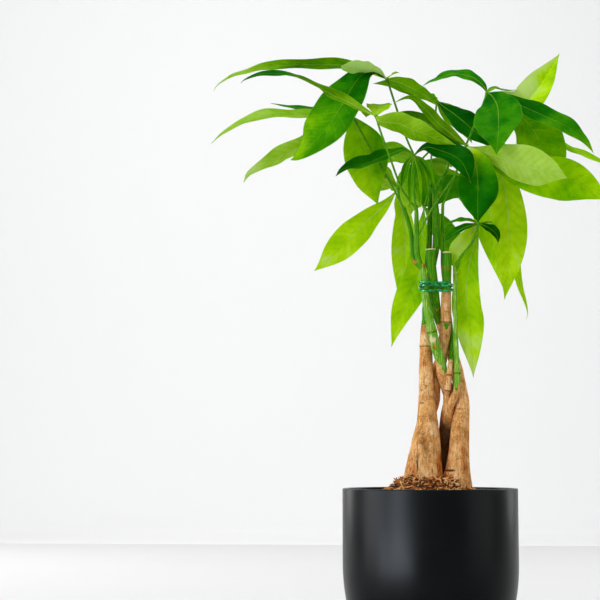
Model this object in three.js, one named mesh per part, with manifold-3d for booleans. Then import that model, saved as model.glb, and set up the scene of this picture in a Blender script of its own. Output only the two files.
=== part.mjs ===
// A potted money tree: five braided trunks with leafy green tops, tied together, in a black pot.
// Units are millimetres and +Z is up. The origin is at the middle of the pot's underside.

import * as THREE from 'three';
import { mergeVertices } from 'three/addons/utils/BufferGeometryUtils.js';
import Module from 'manifold-3d';

const wasm = await Module();
wasm.setup();

// Driving dimensions of the pot and what fills it
const POT_RADIUS = 88;
const POT_HEIGHT = 152;
const POT_WALL = 4.5;
const POT_FLOOR = 6;
const POT_FOOT_RADIUS = 60;
const POT_BOWL_HEIGHT = 78;
const POT_SIDES = 44;
const SOIL_SIDES = 32;
const BOWL_STEPS = 5;
const RIM_ROUND = 1.2;
const FOOT_BEVEL = 1.5;
const SOIL_TOP = 140;
const SOIL_BEVEL = 1;

// The mulch: its height at distances from the pot's axis, and the loose chips in it
const MULCH_RADIUS = 76;
const MULCH_SIDES = 24;
const MULCH_RISE = [[0, 164], [20, 163], [30, 160.5], [39, 154], [50, 148.5], [76, 142.4]];
const CHIP_COUNT = 32;
const CHIP_SEED = 7;
const CHIP_LEAST = [7, 3.5, 2.4];
const CHIP_MORE = [6, 2.5, 1.4];
const CHIP_LEAN = 0.9;
const CHIP_LIFT = 0.6;
const CHIP_MARGIN = 8;

// Gaps between pieces that touch
const GAP = 0.4;
const SPLIT_GAP = 0.3;
// Corners closer than this are one corner
const MERGE_DISTANCE = 1e-4;

// Leaves and their stalks
const BLADE_THICKNESS = 0.8;
const BLADE_ROOT_THICKNESS = 1.7;
const STALK_BASE_RADIUS = 1.3;
const STALK_TIP_RADIUS = 0.95;
const STALK_SIDES = 5;
const HUB_RADIUS = 2.1;
// Where the blade has its cross sections, as a share of its length
const BLADE_STATIONS = [0, 0.08, 0.24, 0.45, 0.66, 0.85, 1];
// How wide the blade is at its two ends, as a share of its full width
const LEAST_WIDTH = 0.03;
// How hollow the taper towards the hub is, for a blade that is widest at EVEN_BELLY and further out
const EVEN_BELLY = 0.4;
const EVEN_TAPER = 0.7;
const TAPER_GROWTH = 2.5;

// Trunks
const TRUNK_SIDES = 14;
const STEM_SIDES = 10;
// How many rows of a trunk lie in the soil and the mulch
const HOLE_ROWS = 8;

// The green tie round the stems
const TIE_LOW = 351.5;
const TIE_HIGH = 360.5;
const TIE_THICKNESS = 0.9;
const TIE_CLEARANCE = 0.35;
const TIE_STEPS = 30;
// The tie's knot, as rows of [across, up, depth, radius]
const TIE_KNOT = [
  [-8.4, 351, -11, 1.2], [-9.6, 354, -10.6, 1.3], [-9.4, 357, -10.2, 1.3], [-10.8, 360.5, -9.4, 1],
];
const KNOT_SIDES = 6;

// Places on the plant are given as [across, up, depth]. Across and up are where an eye in front of
// the plant sees them, in millimetres at the pot's axis, and depth is how far behind the upright
// plane through that axis the place really is. The eye looks a little up and to the left.
const EYE_DISTANCE = 1600;
const EYE_HEIGHT = 181;
const EYE_TURN = 4.686;
const EYE_TILT = 5.779;
const SIGHT_LENGTH = 1573.2;
const MIDDLE_ACROSS = -130;
const MIDDLE_UP = 341;

// Each trunk is a list of [across, up, depth, radius], from its foot in the soil to its cut or fork.
const TRUNK_1 = [
  [-0.5, 96, -12, 12.4], [-0.5, 140, -12, 12.8], [-0.5, 152, -12, 13.2], [-1, 163, -11.5, 13.6],
  [-3, 181, -10.5, 14], [-3, 191, -10, 13.8], [-3, 201, -9, 13], [-3, 211, -8, 12],
  [-2.8, 221, -7, 10.4], [-3, 231, -6, 9.2], [-3.3, 241, -5, 8.3], [-3.7, 251, -3.5, 7.5],
  [-4, 271, 0, 7.1], [-4, 285, 1, 6.8], [-4, 295, 2, 6.5], [-3.5, 311, 5, 5.9],
  [-2.8, 321, 9, 5.3], [-3.2, 331, 11.5, 4.8], [-2.5, 341, 12, 4.4], [-0.5, 358, 12, 4.1],
  [2.5, 376, 12.5, 3.9], [5.5, 391, 10, 3.8], [6.2, 401, 8, 3.7], [6.2, 425, 6, 3.4],
  [5, 447, 6, 3], [10, 458, 5, 2.2], [16.5, 470, 4, 1.5], [20, 482, 4, 1.2],
];
const TRUNK_2 = [
  [27.5, 96, -4, 14], [27.5, 140, -4, 14.4], [27.5, 152, -4, 15.2], [27.3, 161, -4.5, 14.6],
  [28, 171, -5, 12.7], [28.6, 181, -5, 11.3], [29.2, 191, -5, 10.3], [29.6, 201, -5, 9.9],
  [30, 211, -5, 9.5], [31, 221, -4, 8.6], [32.5, 231, -1, 7.2], [32.4, 241, 2, 6.9],
  [30.5, 251, 2.5, 6.8], [28.6, 261, 3, 6.5], [26.8, 271, 5, 6.2], [24, 281, 9, 5.9],
  [20.5, 291, 12.5, 5.6], [16.8, 301, 15, 5.4], [13, 311, 15.5, 5.3], [9.5, 321, 13.5, 5.2],
  [6.3, 331, 8.5, 5], [5, 341, 4, 4.9], [3.5, 358, 1, 4.7], [1.5, 376, 0, 4.7], [0.4, 392, 0, 4.9],
];
const TRUNK_3 = [
  [11, 96, 18, 7.6], [11, 152, 18, 7.8], [13, 181, 14, 7.7], [14, 191, 12, 7.6], [15, 201, 9.5, 7.4],
  [16, 211, 7, 7.1], [16.6, 221, 4, 6.8], [17.8, 231, -0.5, 6.4], [17.6, 239, -3, 4.6],
  [16.6, 245, -4.5, 3.4], [17.4, 251, -6.5, 3.1], [18.9, 261, -8.6, 2.9], [19.4, 268, -8.6, 2.7],
  [20, 275, -6.5, 2.5], [21, 281, -3, 2.4], [21.4, 291, 3, 2.3], [21.5, 301, 7.5, 2.2],
  [21.2, 311, 9.6, 2.1], [20, 321, 10.6, 2.1], [17, 341, 11.5, 2.1], [14.5, 358, 10.5, 2.1],
  [12.8, 376, 10, 2], [12.6, 391, 10, 1.9], [12.4, 411, 9.5, 1.8], [12.8, 437, 8, 1.5],
];
// The arm that leaves trunk 3 at its fork
const TRUNK_3_ARM = [
  [18, 229, -1, 4.4], [20.5, 237, -4, 4.4], [24.8, 245, -6.5, 3.9], [26.9, 253, -7.5, 3.3],
  [27.3, 269, -7, 3.1], [26.7, 281, -5, 2.7], [25.9, 301, -3, 2.4], [25.5, 321, -1, 2.2],
  [25, 341, 1, 2.1], [25, 356, 2.5, 1.9], [24.4, 376, 4.5, 1.7],
];
const TRUNK_4 = [
  [28, 96, 27, 8.8], [28, 152, 27, 8.8], [28, 181, 25, 8.6], [28.5, 201, 22, 8.2], [27, 221, 18, 7.6],
  [25, 231, 15, 7.2], [22, 241, 12.2, 6.7], [17.8, 251, 8, 6.4], [14.5, 261, 0.5, 6.1],
  [12.3, 268, -2.8, 5.8], [10.2, 281, -6.8, 5.2], [5.7, 294, -9, 4.8], [4, 301, -9.5, 4.9],
  [1.8, 311, -10, 4.9], [-0.4, 321, -10, 4.4], [-4, 341, -8, 4.1], [-5.5, 358, -5.5, 3.4],
  [-7.2, 371, -4, 3], [-8.3, 377, -4, 2.8],
];
const TRUNK_5 = [
  [-18, 96, 6, 9], [-18, 152, 6, 9.3], [-17.4, 163, 7, 9.3], [-13.7, 181, 11.5, 9],
  [-11.5, 191, 12.5, 8.7], [-9.6, 201, 13, 8.4], [-7, 211, 13, 8.2], [-4, 221, 12.5, 8],
  [-0.5, 231, 12, 7.9], [2.5, 241, 11.5, 7.7], [3.3, 251, 11.5, 7.4], [5, 261, 11, 7.2],
  [7.6, 271, 10, 6.9], [11, 281, 6, 6.2], [12, 291, 4.5, 5.7], [13.8, 301, 4, 5.6],
  [15, 311, 4, 5.7], [15.8, 321, 3.5, 5.5], [16.1, 331, 3, 5.4], [16.1, 341, 3, 5.1],
  [16.6, 358, 2.5, 4.6], [17, 372, 2, 4.6], [17.4, 389, 2, 4.3],
];
// How far up each trunk the brown bark reaches, as seen from the front
const BARK_TOP_1 = 314;
const BARK_TOP_2 = 318;
const BARK_TOP_3 = 280;
const BARK_TOP_3_ARM = 252;
const BARK_TOP_4 = 268;
const BARK_TOP_5 = 349;

// Side shoots: the two arms of trunk 4, and the shoot behind the cut top of trunk 2
const SHOOT_4_LEFT = [
  [-8.3, 373, -4, 2.7], [-13, 377.5, -2.5, 2.6], [-16.3, 382, -1.5, 2.5], [-17.2, 391, -1, 2.4],
  [-19.5, 411, -1, 2.2], [-26, 433, -2, 1.9],
];
const SHOOT_4_RIGHT = [
  [-8.3, 373, -4, 2.9], [-11, 380, -4.5, 2.9], [-13.3, 391, -6, 2.9], [-13.5, 411, -8, 2.6],
  [-13.5, 426, -9, 2.2], [-14, 436, -11, 1.6],
];
const SHOOT_2 = [
  [0.5, 370, 1, 2.6], [-2.5, 377, 5, 2.6], [-1.8, 386, 8, 2.8], [-0.8, 396, 9.5, 2.9],
  [-0.5, 411, 9.5, 2.8], [0.2, 441, 9, 2.3], [1, 456, 9, 1.8],
];

// A palmate leaf has a stalk, [across, up, depth] from where it leaves its stem to its hub, and
// leaflets: [width, turn, tilt, fold, twist, belly, path from the hub to the tip]. turn and tilt say
// which way the upper face looks at the hub, in degrees: turn 0 is to the front, tilt 90 is up. fold
// is how far each half rises from the midrib, twist how far the blade rolls on the way to its tip,
// and belly the share of the length at which it is widest.
const LEAVES_1 = [
  {
    stalk: [[4, 446, 5], [-6, 466, -5], [-16, 486, -13], [-24, 504, -19], [-33, 531, -25],
      [-43, 562, -28]],
    leaflets: [
      [22, 180, 75, 5, 0, 0.36, [[-60, 570.5, -32], [-85, 576, -38], [-105, 577, -43], [-125, 576.8, -47],
        [-140, 576.2, -50], [-156, 575.4, -52], [-170, 574, -54], [-184, 569.2, -56], [-196, 566.2, -57],
        [-205, 561.4, -58], [-213, 555.8, -59], [-216.5, 550, -60]]],
      [56, -20, 30, 10, 0, 0.58, [[-56, 570, -36], [-69, 565, -44], [-79, 552, -51], [-89, 534.5, -56],
        [-102, 514.5, -60], [-117, 498, -60], [-131, 486, -52], [-139.5, 481, -42]]],
      [26, 180, 70, 8, 0, 0.74, [[-50, 568.5, -38], [-60, 571, -48], [-74, 573, -60], [-84, 575, -68],
        [-89, 575, -73]]],
      [20, 180, 60, 8, 0, 0.45, [[-36, 560, -30], [-30, 558.5, -31], [-20, 554, -32], [-10, 548.5, -32],
        [0, 542, -31], [8, 535, -29]]],
      [9, 180, 60, 8, 0, 0.4, [[-40, 565.5, -20], [-36, 567.5, -14], [-31, 568.8, -8]]],
    ],
  },
  {
    stalk: [[19, 480, 4], [16, 493, 24], [4, 493, 44], [-10, 480, 58]],
    leaflets: [
      [36, 200, 50, 12, 0, 0.5, [[-30, 486, 68], [-50, 484, 80], [-68, 474, 90]]],
      [34, 180, 40, 12, 0, 0.5, [[-16, 466, 78], [-20, 446, 98], [-20, 424, 112]]],
      [32, 160, 50, 12, 0, 0.5, [[-4, 466, 86], [2, 450, 112], [2, 426, 130]]],
      [30, 140, 50, 12, 0, 0.5, [[6, 472, 76], [24, 456, 98], [38, 432, 112]]],
      [28, 180, 70, 12, 0, 0.5, [[0, 478, 66], [12, 478, 86], [22, 474, 108]]],
    ],
  },
];
const LEAVES_2 = [
  {
    stalk: [[-0.5, 425, 9], [-4, 430, 16], [-6, 434, 24]],
    leaflets: [
      [31, 0, 10, 10, 0, 0.55, [[-8, 410, 28], [-9.3, 382, 29], [-12.1, 363, 28], [-20, 346, 24],
        [-28, 329, 18], [-34, 311, 13], [-38.6, 294, 10]]],
      [32, 0, 20, 10, 0, 0.5, [[6, 444, 32], [16, 452, 40], [30, 452, 46], [44, 440, 50]]],
      [30, 20, 10, 10, 0, 0.5, [[4, 422, 29], [14, 408, 32], [24, 388, 33], [30, 364, 33]]],
      [32, 180, 40, 12, 0, 0.5, [[-14, 440, 44], [-24, 436, 70], [-34, 420, 92]]],
      [30, 0, 15, 10, 0, 0.5, [[-2, 452, 28], [-4, 466, 30], [-2, 482, 30]]],
    ],
  },
  {
    stalk: [[0.8, 448, 9], [1, 476, 20], [3, 506, 36], [7, 540, 48]],
    leaflets: [
      [20, 180, 70, 12, 0, 0.5, [[1, 544, 64], [-9, 549, 88], [-20, 552, 112]]],
      [24, 180, 60, 12, 0, 0.5, [[22, 528, 72], [33, 515, 102], [42, 498, 128]]],
      [30, 140, 60, 12, 0, 0.5, [[30, 524, 62], [56, 509, 84], [80, 488, 104]]],
      [30, 0, 30, 10, 0, 0.58, [[14, 534, 46], [24, 527, 42], [34, 519, 38], [44, 510.5, 35],
        [54, 502, 32], [62, 493, 30]]],
      [22, 180, 40, 12, 0, 0.5, [[17, 530, 60], [30, 518, 72], [44, 504, 82]]],
      [18, 180, 50, 8, 0, 0.45, [[-4, 545, 40], [-17, 551, 32], [-30, 556, 26], [-42, 558, 20],
        [-57, 557.5, 16]]],
    ],
  },
];
const LEAVES_3 = [
  {
    stalk: [[12.8, 436, 8], [24, 463.6, 7], [33, 489, 6], [39.5, 504, 4], [50, 529, -3], [57, 548, -10]],
    leaflets: [
      [22, 0, 54, 6, 0, 0.5, [[54, 554.5, -10], [46, 561.5, -8], [38.6, 565, -6], [31, 566.7, -3],
        [22, 567, 0], [14, 565.2, 3], [6, 561.5, 5], [0, 559.5, 7], [-7, 555.5, 8]]],
      [8, 0, 60, 14, 0, 0.4, [[64, 553, -2], [72, 551.5, 4], [79, 550.5, 8], [86, 551.5, 12]]],
      [50, -15, 25, 10, 0, 0.56, [[62, 545, -20], [67, 536, -34], [68.5, 526, -46], [68.5, 512, -60],
        [67.5, 500, -72], [66.5, 486.5, -74]]],
      [30, 0, 45, 8, 0, 0.5, [[75, 543, -12], [94, 534, -18], [110, 527, -21], [123, 521, -24],
        [136, 515, -27], [147, 507, -30], [156, 499, -31], [163.6, 488, -32]]],
      [54, 10, 30, 10, 0, 0.55, [[79, 535, 0], [93, 523, 2], [104, 510.3, 2], [110, 496, 2],
        [116, 479, -2], [121, 463, -6], [125.7, 445.5, -8]]],
      [36, 0, 15, 24, 0, 0.5, [[70, 541, 6], [84, 536, 14], [95, 538, 20], [103, 547, 26], [111, 558, 30],
        [120, 572, 34], [129.6, 587.4, 38]]],
      [26, 0, 68, 12, 0, 0.5, [[90, 524, 18], [120, 503, 22], [138.6, 490.7, 22], [150, 487, 22],
        [160, 483, 21], [170, 479, 20], [190, 471, 18], [208, 463, 16]]],
    ],
  },
];
const LEAVES_3_ARM = [
  {
    stalk: [[24.4, 374, 4.5], [31, 385, 2], [39, 394.6, 0], [45.7, 405, -4], [48.5, 417.5, -6]],
    leaflets: [
      [31, 0, 5, 10, 0, 0.6, [[45, 400, 6], [40, 380, 9], [37, 362, 10], [36, 345, 10], [37, 330, 10],
        [39, 321, 9], [41, 300, 7], [42.5, 283, 4], [43.3, 263.5, 2]]],
      [12, 0, 40, 16, 0, 0.5, [[55, 415, -14], [62, 411, -24], [67, 405, -32], [68.3, 397.8, -38]]],
      [5, 0, 85, 10, 0, 0.5, [[57, 419, -4], [66, 418.5, -4]]],
      [11, 0, 60, 12, 0, 0.5, [[40, 420.5, -6], [29, 420.5, -4], [20, 418, -1], [14, 413.5, 2]]],
      [10, 0, 35, 20, 0, 0.5, [[36, 414, -9], [26, 409, -9], [18, 403.5, -8], [13.5, 397, -6]]],
      [18, 0, 10, 10, 0, 0.62, [[41, 409, 6], [33.5, 399, 8], [26, 389, 9], [21.7, 375.5, 8]]],
    ],
  },
];
const LEAVES_4 = [
  {
    stalk: [[-26, 432, -2], [-39, 457, -6], [-56, 486, -12], [-68, 508, -16], [-77, 524, -18]],
    leaflets: [
      [27, 180, 82, 8, 0, 0.5, [[-100, 525.5, -22], [-125, 526.5, -26], [-139, 526.2, -28],
        [-154, 526, -30], [-170.7, 524.7, -32], [-185, 520, -33], [-198, 513, -34], [-209.3, 506.2, -35],
        [-219, 497.5, -36]]],
      [28, 150, 60, 10, 0, 0.52, [[-98, 512, -24], [-120, 499, -28], [-140, 489.5, -32],
        [-149, 485.5, -34], [-162, 479, -36], [-172, 473, -38], [-182, 466.5, -39], [-186.4, 458, -40]]],
      [15, 0, 62, 8, 0, 0.5, [[-98, 529.5, -10], [-120, 532, -2], [-140, 534, 4], [-150, 536, 8],
        [-159.3, 538, 11]]],
      [46, -10, 5, 8, 0, 0.45, [[-71, 508, -8], [-65, 490, -6], [-62, 475, -4], [-60, 460, -3],
        [-56, 447, -2], [-52, 436, -2]]],
      [36, 180, 45, 12, 0, 0.5, [[-92, 518, 10], [-106, 514, 36], [-120, 502, 60]]],
    ],
  },
  {
    stalk: [[-14, 432, -10], [-23, 444, -18], [-30, 456, -34], [-41, 486, -56], [-50, 511, -70],
      [-54, 525, -76]],
    leaflets: [
      [24, 180, 50, 8, -95, 0.5, [[-70, 533, -79], [-85, 541, -84], [-96, 545.5, -87], [-103.6, 550, -89],
        [-116.5, 556.5, -90], [-126.5, 561.5, -90], [-136, 565, -89], [-151, 567, -86], [-168, 567, -83],
        [-178, 564.5, -81], [-186, 561, -80], [-189.4, 558, -79]]],
      [27, 180, 50, 8, 0, 0.42, [[-50, 519.8, -80], [-40, 518.8, -82], [-30, 517.1, -83],
        [-20, 512.8, -84], [-10, 508.8, -85], [0, 505, -86], [10, 501, -85], [20, 498, -82],
        [26, 496, -80]]],
      [26, 0, 60, 12, 0, 0.5, [[-51, 533, -50], [-50, 537, -10]]],
      [18, 180, 60, 12, 0, 0.5, [[-58, 528, -58], [-62, 528, -36], [-64, 524, -14]]],
    ],
  },
  {
    stalk: [[-13, 403, -8], [-1, 427, -16], [10, 444, -22], [19.5, 457.4, -27], [26, 468, -30],
      [37, 495, -38]],
    leaflets: [
      [13, 180, 55, 14, 0, 0.4, [[25, 504, -43], [15, 512, -48], [6, 520, -51], [0, 527, -54],
        [-6, 533, -56], [-13, 540, -58], [-20, 543.5, -60], [-28, 542, -62], [-36, 538, -62]]],
      [41, 180, 35, 10, 0, 0.66, [[48, 491, -44], [60, 487, -50], [75, 482, -56], [90, 477, -60],
        [108, 471.5, -64], [122, 468, -66], [137, 463, -66]]],
      [41, 0, 5, 10, 0, 0.62, [[41, 488, -50], [46, 475, -53], [48, 455, -55], [47.5, 437, -55],
        [48, 418.5, -54]]],
      [36, 0, 5, 10, 0, 0.58, [[55, 484, -32], [67, 473, -24], [75, 451, -15], [79, 421, -10],
        [80, 391, -10], [78, 366, -11], [74.5, 341.5, -10]]],
      [16, 0, 10, 10, 0, 0.4, [[56, 478, -8], [72, 445, 4], [82, 400, 8], [86, 375, 8], [90, 355, 8],
        [95, 340, 7], [97.8, 328, 6], [95.7, 321.5, 6]]],
      [46, 0, 10, 10, 0, 0.66, [[62, 482, -30], [90, 470, -34], [112, 463.5, -33], [130, 461, -32],
        [145, 457.5, -32], [158.6, 452, -32], [170, 446, -33], [179, 441, -34]]],
      [34, 0, 10, 10, 0, 0.5, [[47, 472, -10], [56, 441, 10], [62, 411, 18], [68, 385, 20], [73, 362, 22],
        [76, 346, 22]]],
      [16, 180, 40, 8, 0, 0.55, [[25, 501, -36], [10, 510, -36], [-5, 519, -38], [-20, 524.5, -40],
        [-35, 526, -42], [-43, 524, -44]]],
    ],
  },
  {
    stalk: [[-14, 430, -10], [-16, 451, -18], [-16.4, 476, -30], [-16.4, 486, -36]],
    leaflets: [
      [36, 0, 50, 12, 0, 0.52, [[-4, 493.5, -44], [8, 491, -50], [22, 486, -58], [33, 477, -64],
        [41, 458, -68]]],
      [26, 0, 50, 12, 0, 0.6, [[-26, 491, -40], [-34, 489, -42], [-43, 486, -42], [-56, 480.5, -42],
        [-69, 477, -40], [-81, 474.5, -39], [-89, 470, -38], [-94.3, 464.7, -38]]],
      [9, 0, 5, 40, 0, 0.5, [[-24, 474, -40], [-29, 452, -42]]],
      [8, 0, 0, 40, 0, 0.5, [[-19, 462, -44], [-20, 432, -44]]],
      [8, 0, 0, 40, 0, 0.5, [[-12, 466, -42], [-9, 431, -42]]],
      [8, 0, 0, 40, 0, 0.5, [[-8, 470, -38], [-1, 440, -38]]],
      [8, 0, 5, 40, 0, 0.5, [[-6, 478, -36], [6, 452, -34]]],
    ],
  },
  {
    stalk: [[-25.6, 431, -2], [-30, 441, 3], [-32, 452, 8]],
    leaflets: [
      [33, -10, 10, 8, 0, 0.63, [[-45.3, 436, 2], [-64, 419, -6], [-75, 407.5, -11], [-89.4, 393.3, -15],
        [-104, 379.5, -19], [-115.8, 370, -22]]],
      [27, 0, 5, 10, 0, 0.55, [[-31, 440, 20], [-27, 426, 28], [-26, 400, 34], [-26, 375, 36],
        [-27.5, 355, 36], [-31, 335, 34]]],
      [34, 180, 40, 12, 0, 0.5, [[-44, 462, 26], [-58, 466, 44], [-70, 462, 58]]],
      [32, 180, 50, 12, 0, 0.5, [[-42, 458, 34], [-52, 454, 56], [-60, 448, 74]]],
    ],
  },
];

// Colours, roughness and metalness
const POT_FINISH = { color: 0x1c1e20, roughness: 0.5, metalness: 0 };
const SOIL_FINISH = { color: 0x2e2018, roughness: 1, metalness: 0 };
const MULCH_FINISH = { color: 0x8a5a30, roughness: 0.95, metalness: 0 };
const BARK_FINISH = { color: 0xb48a5c, roughness: 0.85, metalness: 0 };
const GREEN_FINISH = { color: 0x63b01e, roughness: 0.5, metalness: 0 };
const TIE_FINISH = { color: 0x12903a, roughness: 0.25, metalness: 0 };

const eye = new THREE.Vector3(0, -EYE_DISTANCE, EYE_HEIGHT);
const sight = new THREE.Matrix4().makeRotationFromEuler(new THREE.Euler(
  THREE.MathUtils.degToRad(EYE_TILT),
  0,
  THREE.MathUtils.degToRad(EYE_TURN),
  'ZXY',
));

// Turns a place as the eye sees it into its real place.
function seen([across, up, depth]) {
  const ray = new THREE.Vector3(across - MIDDLE_ACROSS, SIGHT_LENGTH, up - MIDDLE_UP).applyMatrix4(sight);
  return ray.multiplyScalar((EYE_DISTANCE + depth) / ray.y).add(eye);
}

// The smooth curve through a list of number rows, at a share of the way counted in rows.
function rowAt(rows, share) {
  const place = Math.min(share * (rows.length - 1), rows.length - 1 - 1e-9);
  const start = Math.floor(place);
  const t = place - start;
  const before = rows[Math.max(start - 1, 0)];
  const a = rows[start];
  const b = rows[start + 1];
  const after = rows[Math.min(start + 2, rows.length - 1)];
  return a.map((value, i) => {
    const rise = (b[i] - before[i]) / 2;
    const fall = (after[i] - value) / 2;
    const square = t * t;
    const cube = square * t;
    return value * (2 * cube - 3 * square + 1) + b[i] * (3 * square - 2 * cube)
      + rise * (cube - 2 * square + t) + fall * (cube - square);
  });
}

// Points of the curve through rows at the given shares of its length.
function alongPath(rows, shares) {
  const fineSteps = 12 * (rows.length - 1);
  const fine = [];
  for (let i = 0; i <= fineSteps; i += 1) fine.push(new THREE.Vector3(...rowAt(rows, i / fineSteps)));
  const reached = [0];
  for (let i = 1; i <= fineSteps; i += 1) reached.push(reached[i - 1] + fine[i].distanceTo(fine[i - 1]));
  return shares.map((share) => {
    const wanted = share * reached[fineSteps];
    let i = 1;
    while (i < fineSteps && reached[i] < wanted) i += 1;
    const part = (wanted - reached[i - 1]) / (reached[i] - reached[i - 1]);
    return fine[i - 1].clone().lerp(fine[i], part);
  });
}

// The unit direction of a row of points at each point.
function directions(points) {
  return points.map((point, i) => {
    const next = points[Math.min(i + 1, points.length - 1)];
    const last = points[Math.max(i - 1, 0)];
    return next.clone().sub(last).normalize();
  });
}

// A closed geometry through equal rings of points. A loop of rings closes on itself; otherwise both
// ends get a flat cap.
function skin(rings, isLoop = false) {
  const count = rings[0].length;
  const positions = rings.flat().flatMap((p) => [p.x, p.y, p.z]);
  const faces = [];
  const lastRing = isLoop ? rings.length : rings.length - 1;
  for (let i = 0; i < lastRing; i += 1) {
    const low = i * count;
    const high = ((i + 1) % rings.length) * count;
    for (let j = 0; j < count; j += 1) {
      const k = (j + 1) % count;
      faces.push(low + j, low + k, high + k, low + j, high + k, high + j);
    }
  }
  if (!isLoop) {
    const top = (rings.length - 1) * count;
    for (let j = 1; j < count - 1; j += 1) {
      faces.push(0, j + 1, j);
      faces.push(top, top + j, top + j + 1);
    }
  }
  const geometry = new THREE.BufferGeometry();
  geometry.setAttribute('position', new THREE.Float32BufferAttribute(positions, 3));
  geometry.setIndex(faces);
  return geometry;
}

// Whether a closed geometry's faces look inward. The sum is six times the volume that they enclose,
// and it is negative when they do.
function looksInward(geometry) {
  const place = geometry.getAttribute('position');
  const index = geometry.getIndex();
  const a = new THREE.Vector3();
  const b = new THREE.Vector3();
  const c = new THREE.Vector3();
  let total = 0;
  for (let i = 0; i < index.count; i += 3) {
    a.fromBufferAttribute(place, index.getX(i));
    b.fromBufferAttribute(place, index.getX(i + 1));
    c.fromBufferAttribute(place, index.getX(i + 2));
    total += a.dot(b.cross(c));
  }
  return total < 0;
}

// A closed geometry as a solid that can be joined and cut, with its faces looking out.
function solid(geometry) {
  const bare = geometry.clone();
  bare.deleteAttribute('normal');
  bare.deleteAttribute('uv');
  const merged = mergeVertices(bare, MERGE_DISTANCE);
  const corners = [...merged.getIndex().array];
  if (looksInward(merged)) corners.reverse();
  return new wasm.Manifold(new wasm.Mesh({
    numProp: 3,
    vertProperties: new Float32Array(merged.getAttribute('position').array),
    triVerts: new Uint32Array(corners),
  }));
}

function joined(solids) {
  return solids.reduce((sum, next) => sum.add(next));
}

// A named mesh from a solid.
function meshOf(name, shape, finish) {
  const data = shape.getMesh();
  const geometry = new THREE.BufferGeometry();
  geometry.setAttribute('position', new THREE.BufferAttribute(data.vertProperties, 3));
  geometry.setIndex(new THREE.BufferAttribute(data.triVerts, 1));
  geometry.computeVertexNormals();
  const mesh = new THREE.Mesh(geometry, new THREE.MeshStandardMaterial(finish));
  mesh.name = name;
  return mesh;
}

// The rings of a round stem at its rows of [across, up, depth, radius]. Each ring keeps how far up
// it is as seen from the front. grow makes the stem thicker all round.
function stemRings(rows, sides, grow = 0) {
  const centres = rows.map(seen);
  const ways = directions(centres);
  let side = new THREE.Vector3(1, 0, 0);
  return centres.map((centre, i) => {
    side = side.clone().addScaledVector(ways[i], -side.dot(ways[i])).normalize();
    const other = ways[i].clone().cross(side);
    const radius = rows[i][3] + grow;
    const points = [];
    for (let j = 0; j < sides; j += 1) {
      const angle = (2 * Math.PI * j) / sides;
      points.push(centre.clone()
        .addScaledVector(side, radius * Math.cos(angle))
        .addScaledVector(other, radius * Math.sin(angle)));
    }
    return { points, way: ways[i], up: rows[i][1] };
  });
}

// A stem cut at the end of its bark: the brown part below and the green part above, a gap apart.
function splitStem(rows, sides, barkTop) {
  const rings = stemRings(rows, sides);
  let cut = 1;
  while (rings[cut].up < barkTop) cut += 1;
  const shared = rings[cut];
  const raised = shared.points.map((p) => p.clone().addScaledVector(shared.way, SPLIT_GAP));
  return {
    bark: solid(skin(rings.slice(0, cut + 1).map((ring) => ring.points))),
    green: solid(skin([raised, ...rings.slice(cut + 1).map((ring) => ring.points)])),
  };
}

function stem(rows, sides, grow = 0) {
  return solid(skin(stemRings(rows, sides, grow).map((ring) => ring.points)));
}

// How wide a blade is at a share of its length, as a share of its full width. A blade that is widest
// far out tapers evenly towards its hub; one that is widest near its hub has a full round base.
function widthAt(share, belly) {
  if (share < belly) {
    const hollowness = EVEN_TAPER + TAPER_GROWTH * (belly - EVEN_BELLY);
    return Math.max(LEAST_WIDTH, Math.sin((Math.PI / 2) * (share / belly)) ** hollowness);
  }
  return Math.max(LEAST_WIDTH, Math.cos((Math.PI / 2) * ((share - belly) / (1 - belly))));
}

// One leaflet: a thin folded blade along its path, from the hub to its tip.
function leaflet(hub, [width, turn, tilt, fold, twist, belly, path]) {
  const points = alongPath([hub, ...path].map((row) => seen(row).toArray()), BLADE_STATIONS);
  const ways = directions(points);
  const turned = THREE.MathUtils.degToRad(turn);
  const tilted = THREE.MathUtils.degToRad(tilt);
  const rise = THREE.MathUtils.degToRad(fold);
  const faceWay = new THREE.Vector3(
    Math.sin(turned) * Math.cos(tilted),
    -Math.cos(turned) * Math.cos(tilted),
    Math.sin(tilted),
  );
  const rings = points.map((point, i) => {
    const way = ways[i];
    const rolled = THREE.MathUtils.degToRad(twist) * BLADE_STATIONS[i];
    const face = faceWay.clone().addScaledVector(way, -faceWay.dot(way)).normalize()
      .applyAxisAngle(way, rolled);
    const side = way.clone().cross(face);
    const half = (width / 2) * widthAt(BLADE_STATIONS[i], belly);
    const root = Math.max(0, 1 - BLADE_STATIONS[i] / BLADE_STATIONS[2]);
    const depth = BLADE_THICKNESS + (BLADE_ROOT_THICKNESS - BLADE_THICKNESS) * root;
    const left = point.clone().addScaledVector(side, -half * Math.cos(rise))
      .addScaledVector(face, half * Math.sin(rise));
    const right = point.clone().addScaledVector(side, half * Math.cos(rise))
      .addScaledVector(face, half * Math.sin(rise));
    const upper = [left, point.clone(), right];
    const lower = upper.map((p) => p.clone().addScaledVector(face, -depth)).reverse();
    return [...upper, ...lower];
  });
  return solid(skin(rings));
}

// One palmate leaf: its stalk, its hub and its leaflets, all one body.
function palmateLeaf({ stalk, leaflets }) {
  const hub = stalk[stalk.length - 1];
  const last = stalk.length - 1;
  const rows = stalk.map((row, i) => {
    const radius = STALK_BASE_RADIUS + ((STALK_TIP_RADIUS - STALK_BASE_RADIUS) * i) / last;
    return [...row, radius];
  });
  const knob = new THREE.IcosahedronGeometry(HUB_RADIUS, 0);
  knob.translate(...seen(hub).toArray());
  return joined([
    stem(rows, STALK_SIDES),
    solid(knob),
    ...leaflets.map((row) => leaflet(hub, row)),
  ]);
}

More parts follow.
